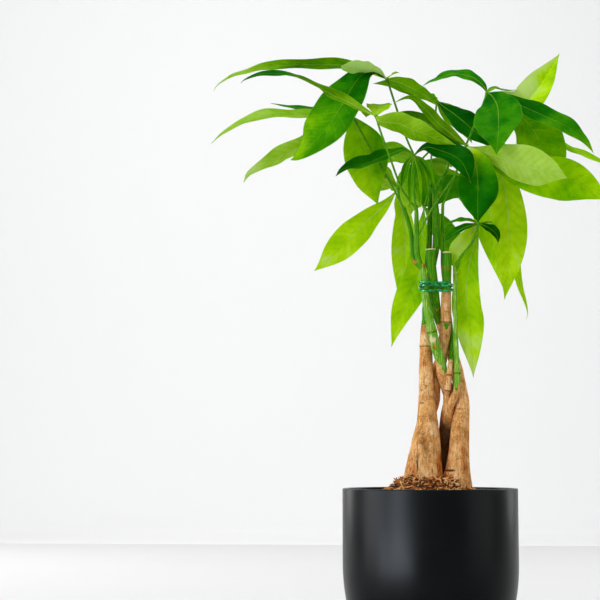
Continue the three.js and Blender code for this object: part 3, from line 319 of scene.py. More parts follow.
LEAVES_4 = [
  ([[-26, 432, -2], [-39, 457, -6], [-56, 486, -12], [-68, 508, -16], [-77, 524, -18]], [
    [27, 180, 82, 8, 0, 0.5, [0.72, 0.85, 0.95, 0], [[-100, 525.5, -22], [-125, 526.5, -26],
     [-139, 526.2, -28], [-154, 526, -30], [-170.7, 524.7, -32], [-185, 520, -33], [-198, 513, -34],
     [-209.3, 506.2, -35], [-219, 497.5, -36]]],
    [28, 150, 60, 10, 0, 0.52, [0.6, 0.78, 0.98, 0], [[-98, 512, -24], [-120, 499, -28], [-140, 489.5, -32],
     [-149, 485.5, -34], [-162, 479, -36], [-172, 473, -38], [-182, 466.5, -39], [-186.4, 458, -40]]],
    [15, 0, 62, 8, 0, 0.5, 0.25, [[-98, 529.5, -10], [-120, 532, -2], [-140, 534, 4], [-150, 536, 8],
     [-159.3, 538, 11]]],
    [46, -10, 5, 8, 0, 0.45, [0.6, 0.7, 0.8, 0.1], [[-71, 508, -8], [-65, 490, -6], [-62, 475, -4],
     [-60, 460, -3], [-56, 447, -2], [-52, 436, -2]]],
    [36, 180, 45, 12, 0, 0.5, 0.55, [[-92, 518, 10], [-106, 514, 36], [-120, 502, 60]]],
  ]),
  ([[-14, 432, -10], [-23, 444, -18], [-30, 456, -34], [-41, 486, -56], [-50, 511, -70], [-54, 525, -76]], [
    [24, 180, 50, 8, -95, 0.5, [0.6, 0.3, 0.02, 0], [[-70, 533, -79], [-85, 541, -84], [-96, 545.5, -87],
     [-103.6, 550, -89], [-116.5, 556.5, -90], [-126.5, 561.5, -90], [-136, 565, -89], [-151, 567, -86],
     [-168, 567, -83], [-178, 564.5, -81], [-186, 561, -80], [-189.4, 558, -79]]],
    [27, 180, 50, 8, 0, 0.42, [0.6, 0.55, 0.5, 0.1], [[-50, 519.8, -80], [-40, 518.8, -82],
     [-30, 517.1, -83], [-20, 512.8, -84], [-10, 508.8, -85], [0, 505, -86], [10, 501, -85], [20, 498, -82],
     [26, 496, -80]]],
    [26, 0, 60, 12, 0, 0.5, 0.85, [[-51, 533, -50], [-50, 537, -10]]],
    [18, 180, 60, 12, 0, 0.5, 0.5, [[-58, 528, -58], [-62, 528, -36], [-64, 524, -14]]],
  ]),
  ([[-13, 403, -8], [-1, 427, -16], [10, 444, -22], [19.5, 457.4, -27], [26, 468, -30], [37, 495, -38]], [
    [13, 180, 55, 14, 0, 0.4, 0.4, [[25, 504, -43], [15, 512, -48], [6, 520, -51], [0, 527, -54],
     [-6, 533, -56], [-13, 540, -58], [-20, 543.5, -60], [-28, 542, -62], [-36, 538, -62]]],
    [41, 180, 35, 10, 0, 0.66, [0.6, 0.88, 1, 0], [[48, 491, -44], [60, 487, -50], [75, 482, -56],
     [90, 477, -60], [108, 471.5, -64], [122, 468, -66], [137, 463, -66]]],
    # This leaflet's hub end is lighter than the palest tone: painted light against the shadow of the
    # leaflets above it. Its dark tip is partly painted shade.
    [41, 0, 5, 10, 0, 0.62, [1.4, 0.26, 0.08, 0.08], [[41, 488, -50], [46, 475, -53], [48, 455, -55],
     [47.5, 437, -55], [48, 418.5, -54]]],
    [36, 0, 5, 10, 0, 0.58, [0.95, 0.9, 0.95, 0], [[55, 484, -32], [67, 473, -24], [75, 451, -15],
     [79, 421, -10], [80, 391, -10], [78, 366, -11], [74.5, 341.5, -10]]],
    [16, 0, 10, 10, 0, 0.4, [0.9, 0.95, 1.05, 0], [[56, 478, -8], [72, 445, 4], [82, 400, 8], [86, 375, 8],
     [90, 355, 8], [95, 340, 7], [97.8, 328, 6], [95.7, 321.5, 6]]],
    [46, 0, 10, 10, 0, 0.66, [0.7, 0.75, 0.75, 0], [[62, 482, -30], [90, 470, -34], [112, 463.5, -33],
     [130, 461, -32], [145, 457.5, -32], [158.6, 452, -32], [170, 446, -33], [179, 441, -34]]],
    [34, 0, 10, 10, 0, 0.5, [0.8, 0.92, 1, 0], [[47, 472, -10], [56, 441, 10], [62, 411, 18], [68, 385, 20],
     [73, 362, 22], [76, 346, 22]]],
    [16, 180, 40, 8, 0, 0.55, 0.15, [[25, 501, -36], [10, 510, -36], [-5, 519, -38], [-20, 524.5, -40],
     [-35, 526, -42], [-43, 524, -44]]],
  ]),
  ([[-14, 430, -10], [-16, 451, -18], [-16.4, 476, -30], [-16.4, 486, -36]], [
    [36, 0, 50, 12, 0, 0.52, [0.02, 0.02, 0.1, 0], [[-4, 493.5, -44], [8, 491, -50], [22, 486, -58],
     [33, 477, -64], [41, 458, -68]]],
    [26, 0, 50, 12, 0, 0.6, [0.3, 0.28, 0.25, 0], [[-26, 491, -40], [-34, 489, -42], [-43, 486, -42],
     [-56, 480.5, -42], [-69, 477, -40], [-81, 474.5, -39], [-89, 470, -38], [-94.3, 464.7, -38]]],
    [9, 0, 5, 40, 0, 0.5, 0.45, [[-24, 474, -40], [-29, 452, -42]]],
    [8, 0, 0, 40, 0, 0.5, 0.5, [[-19, 462, -44], [-20, 432, -44]]],
    [8, 0, 0, 40, 0, 0.5, 0.55, [[-12, 466, -42], [-9, 431, -42]]],
    [8, 0, 0, 40, 0, 0.5, 0.5, [[-8, 470, -38], [-1, 440, -38]]],
    [8, 0, 5, 40, 0, 0.5, 0.45, [[-6, 478, -36], [6, 452, -34]]],
  ]),
  ([[-25.6, 431, -2], [-30, 441, 3], [-32, 452, 8]], [
    [33, -10, 10, 8, 0, 0.63, [0.9, 0.9, 1.05, 0], [[-45.3, 436, 2], [-64, 419, -6], [-75, 407.5, -11],
     [-89.4, 393.3, -15], [-104, 379.5, -19], [-115.8, 370, -22]]],
    [27, 0, 5, 10, 0, 0.55, [0.95, 0.92, 0.95, 0], [[-31, 440, 20], [-27, 426, 28], [-26, 400, 34],
     [-26, 375, 36], [-27.5, 355, 36], [-31, 335, 34]]],
    [34, 180, 40, 12, 0, 0.5, 0.6, [[-44, 462, 26], [-58, 466, 44], [-70, 462, 58]]],
    [32, 180, 50, 12, 0, 0.5, 0.6, [[-42, 458, 34], [-52, 454, 56], [-60, 448, 74]]],
  ]),
]

# Raised rings round a stem, by how far up they are, how far a ring stands out, and how wide it and the
# shade just under it are
RINGS = {1: [295], 3: [267, 252], 4: [310], 5: [320], 6: [268.5]}
RING_RISE = 0.5 * MM
RING_WIDE = 1.3
RING_SHADE = 0.9
RING_SHADE_BELOW = 1.1
RING_SHADE_WIDE = 0.9
# Marks on the side of a stem that the eye sees: [across, up, half width, half height, kind, amount,
# how far it stands out in millimetres]. Most are the bark's own colour; the big dark mark at the foot
# of trunk 3 is painted shade.
MARKS = {
    1: [
        [-13, 176, 0.9, 13, "dark", 1, -1.4], [2, 208, 2.5, 3, "pale", 0.9, 0.3],
        [-6, 170, 0.6, 7, "pale", 0.6, 0.2], [-3.6, 167, 0.6, 6, "pale", 0.6, 0.2],
        [-1.4, 171, 0.6, 8, "pale", 0.6, 0.2], [0.8, 167, 0.6, 6, "pale", 0.6, 0.2],
        [3.4, 169, 0.6, 7, "pale", 1, 0.2], [10, 175, 3.4, 15, "rust", 1.2, 0.4],
        [-2.5, 169, 0.4, 7, "dark", 0.8, -0.2], [2.1, 168, 0.4, 6, "dark", 0.8, -0.2],
        [-3, 188, 11, 18, "dark", 0.34, 0],
        [-16, 170, 4, 12, "rust", 0.5, 0.2], [-8, 238, 3, 1, "dark", 0.9, 0],
        [-5, 278, 3.2, 3.4, "rust", 0.75, 0], [-5, 278, 1.2, 1.8, "pale", 0.5, 0],
        [-6, 262, 2, 5, "rust", 0.7, 0],
        [-6, 205, 3, 26, "dark", 0.28, 0], [-1, 186, 5, 12, "rust", 0.4, 0],
        [8, 373, 2, 2.5, "rust", 0.9, 0.4],
    ],
    2: [
        [20, 170.5, 6, 1.3, "dark", 1.2, -1.0], [18, 163, 6, 5, "rust", 1.1, 0.4],
        [34, 184, 4, 22, "rust", 0.8, 0],
        [24, 205, 3, 14, "rust", 0.45, 0], [30, 232, 5, 1, "dark", 0.7, 0],
        [6.6, 331, 2.4, 2.2, "rust", 0.9, 0.8],
    ],
    3: [
        # Painted shade: the foot of trunk 3, deep between trunks 1 and 2, is painted dark. The next two
        # marks make its top grey.
        [14, 172, 14, 32, "dark", 2.4, 0], [14, 210, 9, 14, "dark", 0.5, 0],
        [14, 216, 7, 12, "pale", 0.3, 0],
    ],
    4: [
        [4.6, 294.4, 2.6, 2.8, "rust", 1.1, 0.5], [3.5, 301, 3.4, 4.4, "pale", 0.8, 0.3],
        [1, 304, 1.2, 5, "pale", 0.6, 0], [7, 290, 2.4, 1.1, "dark", 0.5, 0],
        [-9.7, 453.2, 2, 2, "rust", 1, 0.3], [-15.3, 379, 2.8, 2.6, "rust", 1.1, 0.4],
        [-5.8, 376, 2.2, 3.8, "rust", 1.2, 0.5], [-5.2, 379.5, 1.2, 1.4, "pale", 0.7, 0],
        [4, 275, 4.5, 5, "brown", 1.3, 0], [9, 270, 4, 4.5, "brown", 1.2, 0],
    ],
    5: [
        [12, 373.5, 3, 2.6, "rust", 1, 0.5], [18, 372.5, 2.6, 1.2, "rust", 0.9, 0.3],
        [16.4, 316.6, 3.2, 1.6, "green", 1.1, 0], [16.6, 313.6, 1.8, 2.6, "green", 1.0, 0],
        [-17, 172, 8, 12, "rust", 0.7, 0], [-12.5, 178, 1.2, 16, "dark", 1.4, -0.8],
        [6, 268, 4, 9, "rust", 0.5, 0], [14, 300, 2.2, 9, "pale", 0.4, 0],
    ],
    6: [
        [26, 262, 2, 6, "green", 0.6, 0], [22.6, 254, 1.8, 4, "brown", 1.3, 0],
        [29.6, 254, 1.8, 4, "brown", 1.3, 0], [26.2, 252, 1.2, 2, "green", 1.2, 0],
    ],
}
# The heights between which the tie holds the stems, those of its turns, how far it stays clear of the
# stems, and the half width and half height of a turn
TIE_SPAN = (351.5 * MM, 360.5 * MM)
TIE_LEVELS = (352.8 * MM, 355.8 * MM, 358.8 * MM)
TIE_CLEAR = 0.2 * MM
TIE_WIDE = 0.75 * MM
TIE_HIGH = 1.35 * MM
TIE_SIDES = 8
TIE_STEPS = 150
# How far each turn slopes and wavers up and down
TIE_SLOPE = 1.5 * MM
TIE_WAVER = 0.8 * MM
# The knotted ends of the tie
TIE_KNOT = [
    [-7.6, 353, -11, 1.1], [-9.4, 351.6, -11.6, 1.2], [-10.4, 354, -11, 1.2], [-9, 356.6, -10.6, 1.2],
    [-8, 358.6, -10.6, 1.1], [-9.6, 360.6, -10, 1],
]
KNOT_SIDES = 10


def seen(place):
    """The real place of [across, up, depth] as the eye sees it."""
    across, up, depth = place
    ray = SIGHT @ Vector((across - MIDDLE_ACROSS, SIGHT_LENGTH, up - MIDDLE_UP))
    return EYE + ray * ((depth * MM - EYE.y) / ray.y)


def as_seen(point):
    """Where the eye sees a real place: how far across and how far up."""
    ray = SIGHT.transposed() @ (point - EYE)
    scale = SIGHT_LENGTH / ray.y
    return MIDDLE_ACROSS + ray.x * scale, MIDDLE_UP + ray.z * scale


def row_at(rows, share):
    """The smooth curve through rows of numbers, at a share of the way counted in rows."""
    place = min(share * (len(rows) - 1), len(rows) - 1 - 1e-9)
    start = int(place)
    t = place - start
    before, a = rows[max(start - 1, 0)], rows[start]
    b, after = rows[start + 1], rows[min(start + 2, len(rows) - 1)]
    square, cube = t * t, t * t * t
    return [
        a[i] * (2 * cube - 3 * square + 1)
        + b[i] * (3 * square - 2 * cube)
        + (b[i] - before[i]) / 2 * (cube - 2 * square + t)
        + (after[i] - a[i]) / 2 * (cube - square)
        for i in range(len(a))
    ]


def along_path(rows, shares):
    """Points of the curve through rows at the given shares of its length."""
    fine_steps = 12 * (len(rows) - 1)
    fine = [Vector(row_at(rows, i / fine_steps)) for i in range(fine_steps + 1)]
    reached = [0]
    for last, point in zip(fine, fine[1:]):
        reached.append(reached[-1] + (point - last).length)
    points = []
    i = 1
    for share in shares:
        wanted = share * reached[-1]
        while i < fine_steps and reached[i] < wanted:
            i += 1
        points.append(fine[i - 1].lerp(fine[i], (wanted - reached[i - 1]) / (reached[i] - reached[i - 1])))
    return points


def directions(points):
    """The unit direction of a row of points at each point."""
    last = len(points) - 1
    return [(points[min(i + 1, last)] - points[max(i - 1, 0)]).normalized() for i in range(last + 1)]


def smooth_step(low, high, value):
    t = min(max((value - low) / (high - low), 0), 1)
    return t * t * (3 - 2 * t)


class Piece:
    """The mesh of one piece as it grows: corners with their paint and tone, and faces with their finish."""

    def __init__(self, name):
        self.name = name
        self.corners = []
        self.paint = []
        self.tones = []
        self.faces = []
        self.face_finishes = []
        self.finishes = []

    def slot_of(self, finish):
        if finish not in self.finishes:
            self.finishes.append(finish)
        return self.finishes.index(finish)

    def skin(self, rings, paint, tone, finishes, is_loop=False):
        """Adds a skin through equal rings of points that run anticlockwise about the way they lead.
        finishes has one finish for each stretch of a ring. Open ends are closed by a flat cap."""
        first = len(self.corners)
        count = len(rings[0])
        slots = [self.slot_of(finish) for finish in finishes]
        for i, ring in enumerate(rings):
            for j, corner in enumerate(ring):
                self.corners.append(corner)
                self.paint.append(paint(i, j) if callable(paint) else paint)
                self.tones.append(tone(i, j) if callable(tone) else tone)
        for i in range(len(rings) if is_loop else len(rings) - 1):
            low = first + i * count
            high = first + (i + 1) % len(rings) * count
            for j in range(count):
                k = (j + 1) % count
                self.faces.append((low + j, low + k, high + k, high + j))
                self.face_finishes.append(slots[j % len(slots)])
        if not is_loop:
            top = first + (len(rings) - 1) * count
            self.faces.append(tuple(range(first + count - 1, first - 1, -1)))
            self.faces.append(tuple(range(top, top + count)))
            self.face_finishes += [slots[0]] * 2

    def build(self, node, sharp_angle=50):
        """Makes the object, which stands for the given node."""
        mesh = bpy.data.meshes.new(self.name)
        mesh.from_pydata(self.corners, [], self.faces)
        mesh.polygons.foreach_set("material_index", self.face_finishes)
        mesh.polygons.foreach_set("use_smooth", [True] * len(self.faces))
        paint = mesh.color_attributes.new("paint", "FLOAT_COLOR", "POINT")
        paint.data.foreach_set("color", [value for row in self.paint for value in row])
        tone = mesh.attributes.new("tone", "FLOAT", "POINT")
        tone.data.foreach_set("value", self.tones)
        for finish in self.finishes:
            mesh.materials.append(finish)
        mesh.set_sharp_from_angle(angle=math.radians(sharp_angle))
        piece = bpy.data.objects.new(self.name, mesh)
        bpy.context.collection.objects.link(piece)
        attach(piece, "root")
        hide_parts(node)


class Finish:
    """A material that is built up node by node."""

    def __init__(self, name):
        self.material = bpy.data.materials.new(name)
        self.material.use_nodes = True
        self.tree = self.material.node_tree
        self.tree.nodes.clear()
        self.place = self.add("TexCoord").outputs["Object"]
        paint = self.add("Attribute", attribute_name="paint")
        split = self.add("SeparateColor", Color=paint.outputs["Color"])
        self.red, self.green, self.blue = split.outputs
        self.alpha = paint.outputs["Alpha"]
        self.tone = self.add("Attribute", attribute_name="tone").outputs["Fac"]

    def add(self, kind, **values):
        """Adds a node. A value is a setting of the node, or else an input by name or number."""
        node = self.tree.nodes.new("ShaderNode" + kind)
        settings = {key: value for key, value in values.items() if hasattr(node, key)}
        for key, value in settings.items():
            setattr(node, key, value)
        for key, value in values.items():
            if key in settings:
                continue
            socket = node.inputs[int(key[1:])] if key[1:].isdigit() else node.inputs[key.replace("_", " ")]
            self.feed(socket, value)
        return node

    def feed(self, socket, value):
        if isinstance(value, bpy.types.NodeSocket):
            self.tree.links.new(value, socket)
        elif isinstance(value, tuple) and len(value) == 3 and socket.type == "RGBA":
            socket.default_value = (*value, 1)
        else:
            socket.default_value = value

    def maths(self, operation, a, b=0.0, c=0.0):
        return self.add("Math", operation=operation, i0=a, i1=b, i2=c).outputs[0]

    def span(self, value, low, high, new_low=0.0, new_high=1.0):
        """Where a value lies from low to high, eased, as a value from new_low to new_high."""
        node = self.add("MapRange", interpolation_type="SMOOTHSTEP", i0=value)
        for i, number in enumerate((low, high, new_low, new_high), 1):
            self.feed(node.inputs[i], number)
        return node.outputs[0]

    def mix(self, share, a, b, blend_type="MIX"):
        node = self.add("Mix", data_type="RGBA", blend_type=blend_type, i0=share, i6=a, i7=b)
        return node.outputs[2]

    def stretched(self, x, y, z):
        return self.add("Mapping", Vector=self.place, Scale=(x, y, z)).outputs[0]

    def noise(self, scale, detail=2.0, roughness=0.5, place=None):
        node = self.add("TexNoise", Vector=place or self.place, Scale=scale, Detail=detail,
                        Roughness=roughness)
        return node.outputs[0]

    def ramp(self, share, *stops):
        """A colour from stops of (share, red, green, blue)."""
        node = self.add("ValToRGB", i0=share)
        elements = node.color_ramp.elements
        while len(elements) < len(stops):
            elements.new(0.5)
        for element, (place, *colour) in zip(elements, stops):
            element.position = place
            element.color = (*rgb(*colour), 1)
        return node.outputs[0]

    def bump(self, height, distance, strength=1.0):
        return self.add("Bump", Height=height, Distance=distance, Strength=strength).outputs[0]

    def surface(self, specular, **inputs):
        shader = self.add("BsdfPrincipled", **inputs)
        shader.inputs["Specular IOR Level"].default_value = specular
        return shader.outputs[0]

    def done(self, shader):
        output = self.add("OutputMaterial")
        self.tree.links.new(shader, output.inputs[0])
        return self.material


def rgb(red, green, blue):
    """A colour as it looks on a screen, from 0 to 255, as the light that a surface gives back."""
    def light(value):
        value /= 255
        return value / 12.92 if value <= 0.04045 else ((value + 0.055) / 1.055) ** 2.4
    return light(red), light(green), light(blue)


def leaf_finish(name, colours, rib_colour, glow, gloss, vein_lift):
    """A blade's upper or under side. The paint is (distance from the midrib, share of the length,
    share of the half width, 1), and the tone goes from dark green to pale yellow-green."""
    f = Finish(name)
    rib = f.span(f.red, 0.006, 0.018, 1, 0)
    phase = f.maths("MULTIPLY_ADD", f.blue, -1.7, f.maths("MULTIPLY", f.green, 15))
    wander = f.maths("MULTIPLY", f.noise(60), 0.35)
    vein = f.maths("PINGPONG", f.maths("ADD", phase, wander), 0.5)
    panel = f.maths("MULTIPLY_ADD", vein, 0.06, -0.015)
    vein = f.maths("MULTIPLY", f.span(vein, 0.02, 0.1, 1, 0), f.span(f.blue, 0.75, 1, 1, 0))
    mottle = f.maths("MULTIPLY_ADD", f.noise(42, 4, 0.6), 0.84, -0.42)
    cells = f.maths("MULTIPLY_ADD", f.noise(700, 2), 0.1, -0.05)
    tone = f.maths("ADD", f.maths("ADD", f.maths("ADD", f.tone, mottle), cells), panel)
    # Veins are paler on dark blades. On pale blades they are painted darker, as painted shade in the sunken
    # veins.
    lift = f.maths("MULTIPLY", vein, f.span(f.tone, 0.55, 0.8, vein_lift, -0.4 * vein_lift))
    colour = f.ramp(f.maths("MULTIPLY", f.maths("ADD", tone, lift), 1 / PALEST_TONE), *colours)
    colour = f.mix(f.maths("MULTIPLY", f.span(f.blue, 0.94, 1), 0.2), colour, rib_colour)
    colour = f.mix(f.maths("MULTIPLY", rib, f.span(f.tone, 0, 0.5, 0.3, 0.26)), colour, rib_colour)
    height = f.maths("ADD", f.maths("MULTIPLY", vein, -0.6), f.maths("MULTIPLY", f.noise(500), 0.35))
    normal = f.bump(height, 0.4 * MM, 0.6)
    rough = f.span(f.noise(120), 0.3, 0.7, gloss - 0.05, gloss + 0.1)
    surface = f.surface(0.015, Base_Color=colour, Roughness=rough, Normal=normal)
    yellow = f.mix(f.span(f.tone, 0, 0.5, 0.02, 0.35), colour, rgb(196, 236, 8))
    through = f.add("BsdfTranslucent", Color=yellow, Normal=normal)
    both = f.add("MixShader", i0=glow, i1=surface, i2=through.outputs[0])
    return f.done(both.outputs[0])


def stem_finish(name, roughness):
    """Bark and green stem. The paint is (rust, dark, pale, green), and the tone how light the green is."""
    f = Finish(name)
    fibre = f.noise(1, 5, 0.65, f.stretched(620, 620, 90))
    streak = f.noise(1, 3, 0.6, f.stretched(900, 900, 26))
    patch = f.noise(60, 5, 0.65)
    bark = f.ramp(patch, (0.3, 172, 112, 46), (0.5, 230, 168, 96), (0.7, 255, 212, 150))
    bark = f.mix(f.span(fibre, 0.5, 0.66, 0, 0.6), bark, rgb(140, 84, 42))
    bark = f.mix(f.span(fibre, 0.36, 0.46, 0.5, 0), bark, rgb(255, 226, 194))
    dash = f.noise(1, 2, 0.5, f.stretched(170, 170, 620))
    bark = f.mix(f.span(dash, 0.66, 0.72, 0, 0.7), bark, rgb(104, 60, 30))
    specks = f.add("TexVoronoi", Vector=f.stretched(1, 1, 1.6), Scale=300)
    bark = f.mix(f.span(specks.outputs["Distance"], 0.12, 0.26, 0.7, 0), bark, rgb(110, 64, 32))
    stem = f.ramp(f.tone, (0, 10, 84, 0), (0.5, 70, 150, 4), (1, 150, 204, 60))
    light_streak = f.mix(f.span(f.tone, 0.55, 0.7), rgb(120, 184, 24), rgb(196, 232, 130))
    stem = f.mix(f.span(streak, 0.53, 0.62, 0, 0.6), stem, light_streak)
    stem = f.mix(f.span(streak, 0.34, 0.46, 0.55, 0), stem, rgb(16, 88, 0))
    stem = f.mix(f.span(f.noise(240, 3), 0.54, 0.7, 0, 0.32), stem, rgb(150, 140, 30))
    ragged = f.maths("MULTIPLY_ADD", f.noise(1, 5, 0.7, f.stretched(420, 420, 200)), 1.3, -0.65)
    colour = f.mix(f.span(f.maths("ADD", f.alpha, ragged), 0.42, 0.58), bark, stem)
    amount = f.maths("ADD", f.red, ragged)
    rust = f.mix(f.span(fibre, 0.4, 0.62), rgb(226, 132, 58), rgb(150, 72, 24))
    colour = f.mix(f.span(amount, 0.35, 0.85, 0, 0.8), colour, rust)
    amount = f.maths("ADD", f.blue, ragged)
    colour = f.mix(f.span(amount, 0.35, 0.75, 0, 0.85), colour, rgb(242, 220, 176))
    # The dark paint is the bark's dark scars and furrows, and also painted shade: under the stem rings and
    # at the foot of trunk 3.
    amount = f.maths("ADD", f.green, f.maths("MULTIPLY", ragged, 0.6))
    colour = f.mix(f.span(amount, 0.2, 0.9, 0, 0.9), colour, rgb(46, 26, 10))
    height = f.maths("ADD", fibre, f.maths("MULTIPLY", f.noise(420, 3), 0.6))
    rough = f.span(fibre, 0.3, 0.7, roughness - 0.08, roughness + 0.1)
    normal = f.bump(height, 0.7 * MM, 0.7)
    return f.done(f.surface(0.04, Base_Color=colour, Roughness=rough, Normal=normal))


def crumb_finish(name, *stops):
    """Bark chips or soil: a colour for each crumb from its tone and a fibre pattern, darker where the tone
    is low. For the chips the darkest colour is painted shade and the palest a painted highlight.
    """
    f = Finish(name)
    fibre = f.noise(1, 3, 0.6, f.stretched(300, 300, 300))
    shade = f.maths("ADD", f.maths("MULTIPLY", fibre, 0.5), f.maths("MULTIPLY", f.tone, 0.75))
    colour = f.ramp(shade, *stops)
    height = f.maths("ADD", fibre, f.noise(900, 3))
    rough = f.span(fibre, 0.3, 0.7, 0.8, 0.98)
    normal = f.bump(height, 0.6 * MM, 0.7)
    return f.done(f.surface(0.2, Base_Color=colour, Roughness=rough, Normal=normal))


def pot_finish():
    """Satin black glaze with a faint grain."""
    f = Finish("pot_glaze")
    cloud = f.noise(14, 3)
    grain = f.noise(900, 2)
    colour = f.ramp(cloud, (0.3, 2, 4, 5), (0.7, 5, 9, 10))
    colour = f.mix(f.span(grain, 0.62, 0.8, 0, 0.15), colour, rgb(46, 52, 58))
    rough = f.span(cloud, 0.3, 0.7, 0.28, 0.34)
    normal = f.bump(grain, 0.06 * MM, 0.5)
    return f.done(f.surface(0.1, Base_Color=colour, Roughness=rough, Normal=normal))


def tie_finish():
    """Shiny green plastic, creased."""
    f = Finish("tie_plastic")
    crease = f.noise(1, 3, 0.5, f.stretched(300, 300, 500))
    colour = f.ramp(crease, (0.35, 0, 84, 30), (0.5, 0, 146, 62), (0.7, 40, 210, 110))
    rough = f.span(crease, 0.3, 0.7, 0.08, 0.18)
    normal = f.bump(crease, 0.5 * MM, 0.6)
    return f.done(f.surface(0.5, Base_Color=colour, Roughness=rough, Normal=normal))


def ground_finish(name, *stops):
    """A pale surface whose grey changes with the distance back, as painted shade and light. stops are
    (distance in metres, grey).
    """
    f = Finish(name)
    first, last = stops[0][0], stops[-1][0]
    back = f.add("SeparateXYZ", Vector=f.place).outputs["Y"]
    share = f.maths("MULTIPLY_ADD", back, 1 / (last - first), -first / (last - first))
    share = f.maths("ADD", share, f.maths("MULTIPLY_ADD", f.noise(3, 3), 0.04, -0.02))
    shade = f.ramp(share, *(((place - first) / (last - first), grey, grey, grey) for place, grey in stops))
    rough = f.span(f.noise(6), 0.3, 0.7, 0.7, 0.8)
    return f.done(f.surface(0.15, Base_Color=shade, Roughness=rough))


UPPER = leaf_finish(
    "leaf_upper",
    [(0, 4, 96, 0), (0.2, 24, 132, 0), (0.4, 84, 172, 0), (0.6, 158, 214, 0),
     (0.8, 206, 240, 20), (1, 220, 242, 150)],
    rgb(160, 220, 60), glow=0.4, gloss=0.45, vein_lift=0.09,
)
UNDER = leaf_finish(
    "leaf_under",
    [(0, 24, 100, 0), (0.2, 84, 146, 0), (0.4, 130, 188, 4), (0.6, 178, 220, 52),
     (0.8, 208, 238, 112), (1, 224, 242, 186)],
    rgb(200, 236, 110), glow=0.4, gloss=0.6, vein_lift=0.17,
)
BARK = stem_finish("bark", 0.82)
STEM = stem_finish("green_stem", 0.5)
# The darkest chip colour is painted shade in the gaps between chips and the palest a painted highlight; the
# colours between are the bark's own.
CHIPS = crumb_finish(
    "bark_mulch", (0.25, 46, 20, 4), (0.45, 146, 82, 28), (0.66, 208, 134, 62), (0.95, 244, 196, 130),
)
SOIL = crumb_finish("potting_soil", (0.3, 22, 14, 9), (0.6, 56, 38, 24), (0.9, 96, 68, 44))
POT = pot_finish()
TIE = tie_finish()


def width_at(share, belly):
    """How wide a blade is at a share of its length, as a share of its full width."""
    if share < belly:
        hollowness = EVEN_TAPER + TAPER_GROWTH * (belly - EVEN_BELLY)
        return max(BASE_WIDTH, math.sin(math.pi / 2 * share / belly) ** hollowness)
    rest = (1 - share) / (1 - belly)
    return max(TIP_WIDTH, math.sin(math.pi / 2 * rest) ** TIP_TAPER)


def blade_shape(path, width, turn, tilt, twist, belly):
    """The middle line of a leaflet with its half widths, ways and upper face directions."""
    shares = [i / BLADE_STEPS for i in range(BLADE_STEPS + 1)]
    points = along_path([seen(place) for place in path], shares)
    turn, tilt = math.radians(turn), math.radians(tilt)
    face_way = Vector((
        math.sin(turn) * math.cos(tilt), -math.cos(turn) * math.cos(tilt), math.sin(tilt),
    ))
    stations = []
    for point, way, share in zip(points, directions(points), shares):
        face = (face_way - way * face_way.dot(way)).normalized()
        face = Matrix.Rotation(math.radians(twist) * share, 3, way) @ face
        stations.append((point, way, face, share, width_at(share, belly) * width / 2 * MM))
    return stations


def leaflet(piece, hub, row, random_phase):
    """One leaflet: a thin folded blade with a wavy edge, and the midrib's ridge under it."""
    width, turn, tilt, fold, twist, belly, tones, path = row
    at_hub, at_middle, at_tip, lean = tones if isinstance(tones, list) else [tones] * 3 + [0]
    fold = math.radians(fold)
    stations = blade_shape([hub, *path], width, turn, tilt, twist, belly)
    columns = range(-HALF_COLUMNS, HALF_COLUMNS + 1)
    rings, notes, tones = [], [], []
    for point, way, face, share, half in stations:
        side = way.cross(face)
        middle = 4 * share * (1 - share)
        # The tone from hub to tip and the lean that lightens one half are partly the leaflet's own colour
        # and partly painted shade and painted light.
        if share < 0.5:
            tone = at_hub + (at_middle - at_hub) * 2 * share
        else:
            tone = at_middle + (at_tip - at_middle) * (2 * share - 1)
        upper, lower, note, light = [], [], [], []
        for column in columns:
            out = column / HALF_COLUMNS
            reach = abs(out)
            phase = random_phase + (WAVE_SHIFT if out > 0 else 0)
            wave = WAVE_HEIGHT * reach * reach * middle * math.sin(2 * math.pi * WAVE_COUNT * share + phase)
            wave *= min(1, half / WAVY_HALF_WIDTH)
            rise = half * (math.sin(fold) * reach + BLADE_ARCH * (reach - reach * reach)) + wave
            place = point + side * (half * out * math.cos(fold)) + face * rise
            thick = BLADE_THICKNESS + (BLADE_EDGE_THICKNESS - BLADE_THICKNESS) * reach
            upper.append(place)
            lower.append(place - face * thick)
            note.append((min(1, half * reach / RIB_SPAN), share, reach, 1))
            light.append(tone + lean * out)
        rings.append(upper + lower[::-1])
        notes.append(note + note[::-1])
        tones.append(light + light[::-1])
    across = len(columns) - 1
    finishes = [UPPER] * across + [UNDER] * (across + 2)
    piece.skin(rings, lambda i, j: notes[i][j], lambda i, j: tones[i][j], finishes)
    ribs = []
    for point, way, face, share, half in stations:
        side = way.cross(face)
        radius = RIB_RADIUS * (1 - RIB_TAPER * share)
        middle = point - face * (BLADE_THICKNESS * RIB_DEPTH)
        ribs.append([
            middle + side * (radius * math.cos(angle)) - face * (radius * math.sin(angle))
            for angle in (2 * math.pi * k / RIB_SIDES for k in range(RIB_SIDES))
        ])
    piece.skin(ribs, (0, 0.5, 0, 1), lambda i, j: tones[i][0] + RIB_PALER, [UNDER])


def ring_about(centre, way, side, radii):
    """Points round a centre, anticlockwise about way, at a radius for each."""
    other = way.cross(side)
    count = len(radii)
    return [
        centre + side * (radius * math.cos(2 * math.pi * j / count))
        + other * (radius * math.sin(2 * math.pi * j / count))
        for j, radius in enumerate(radii)
    ]


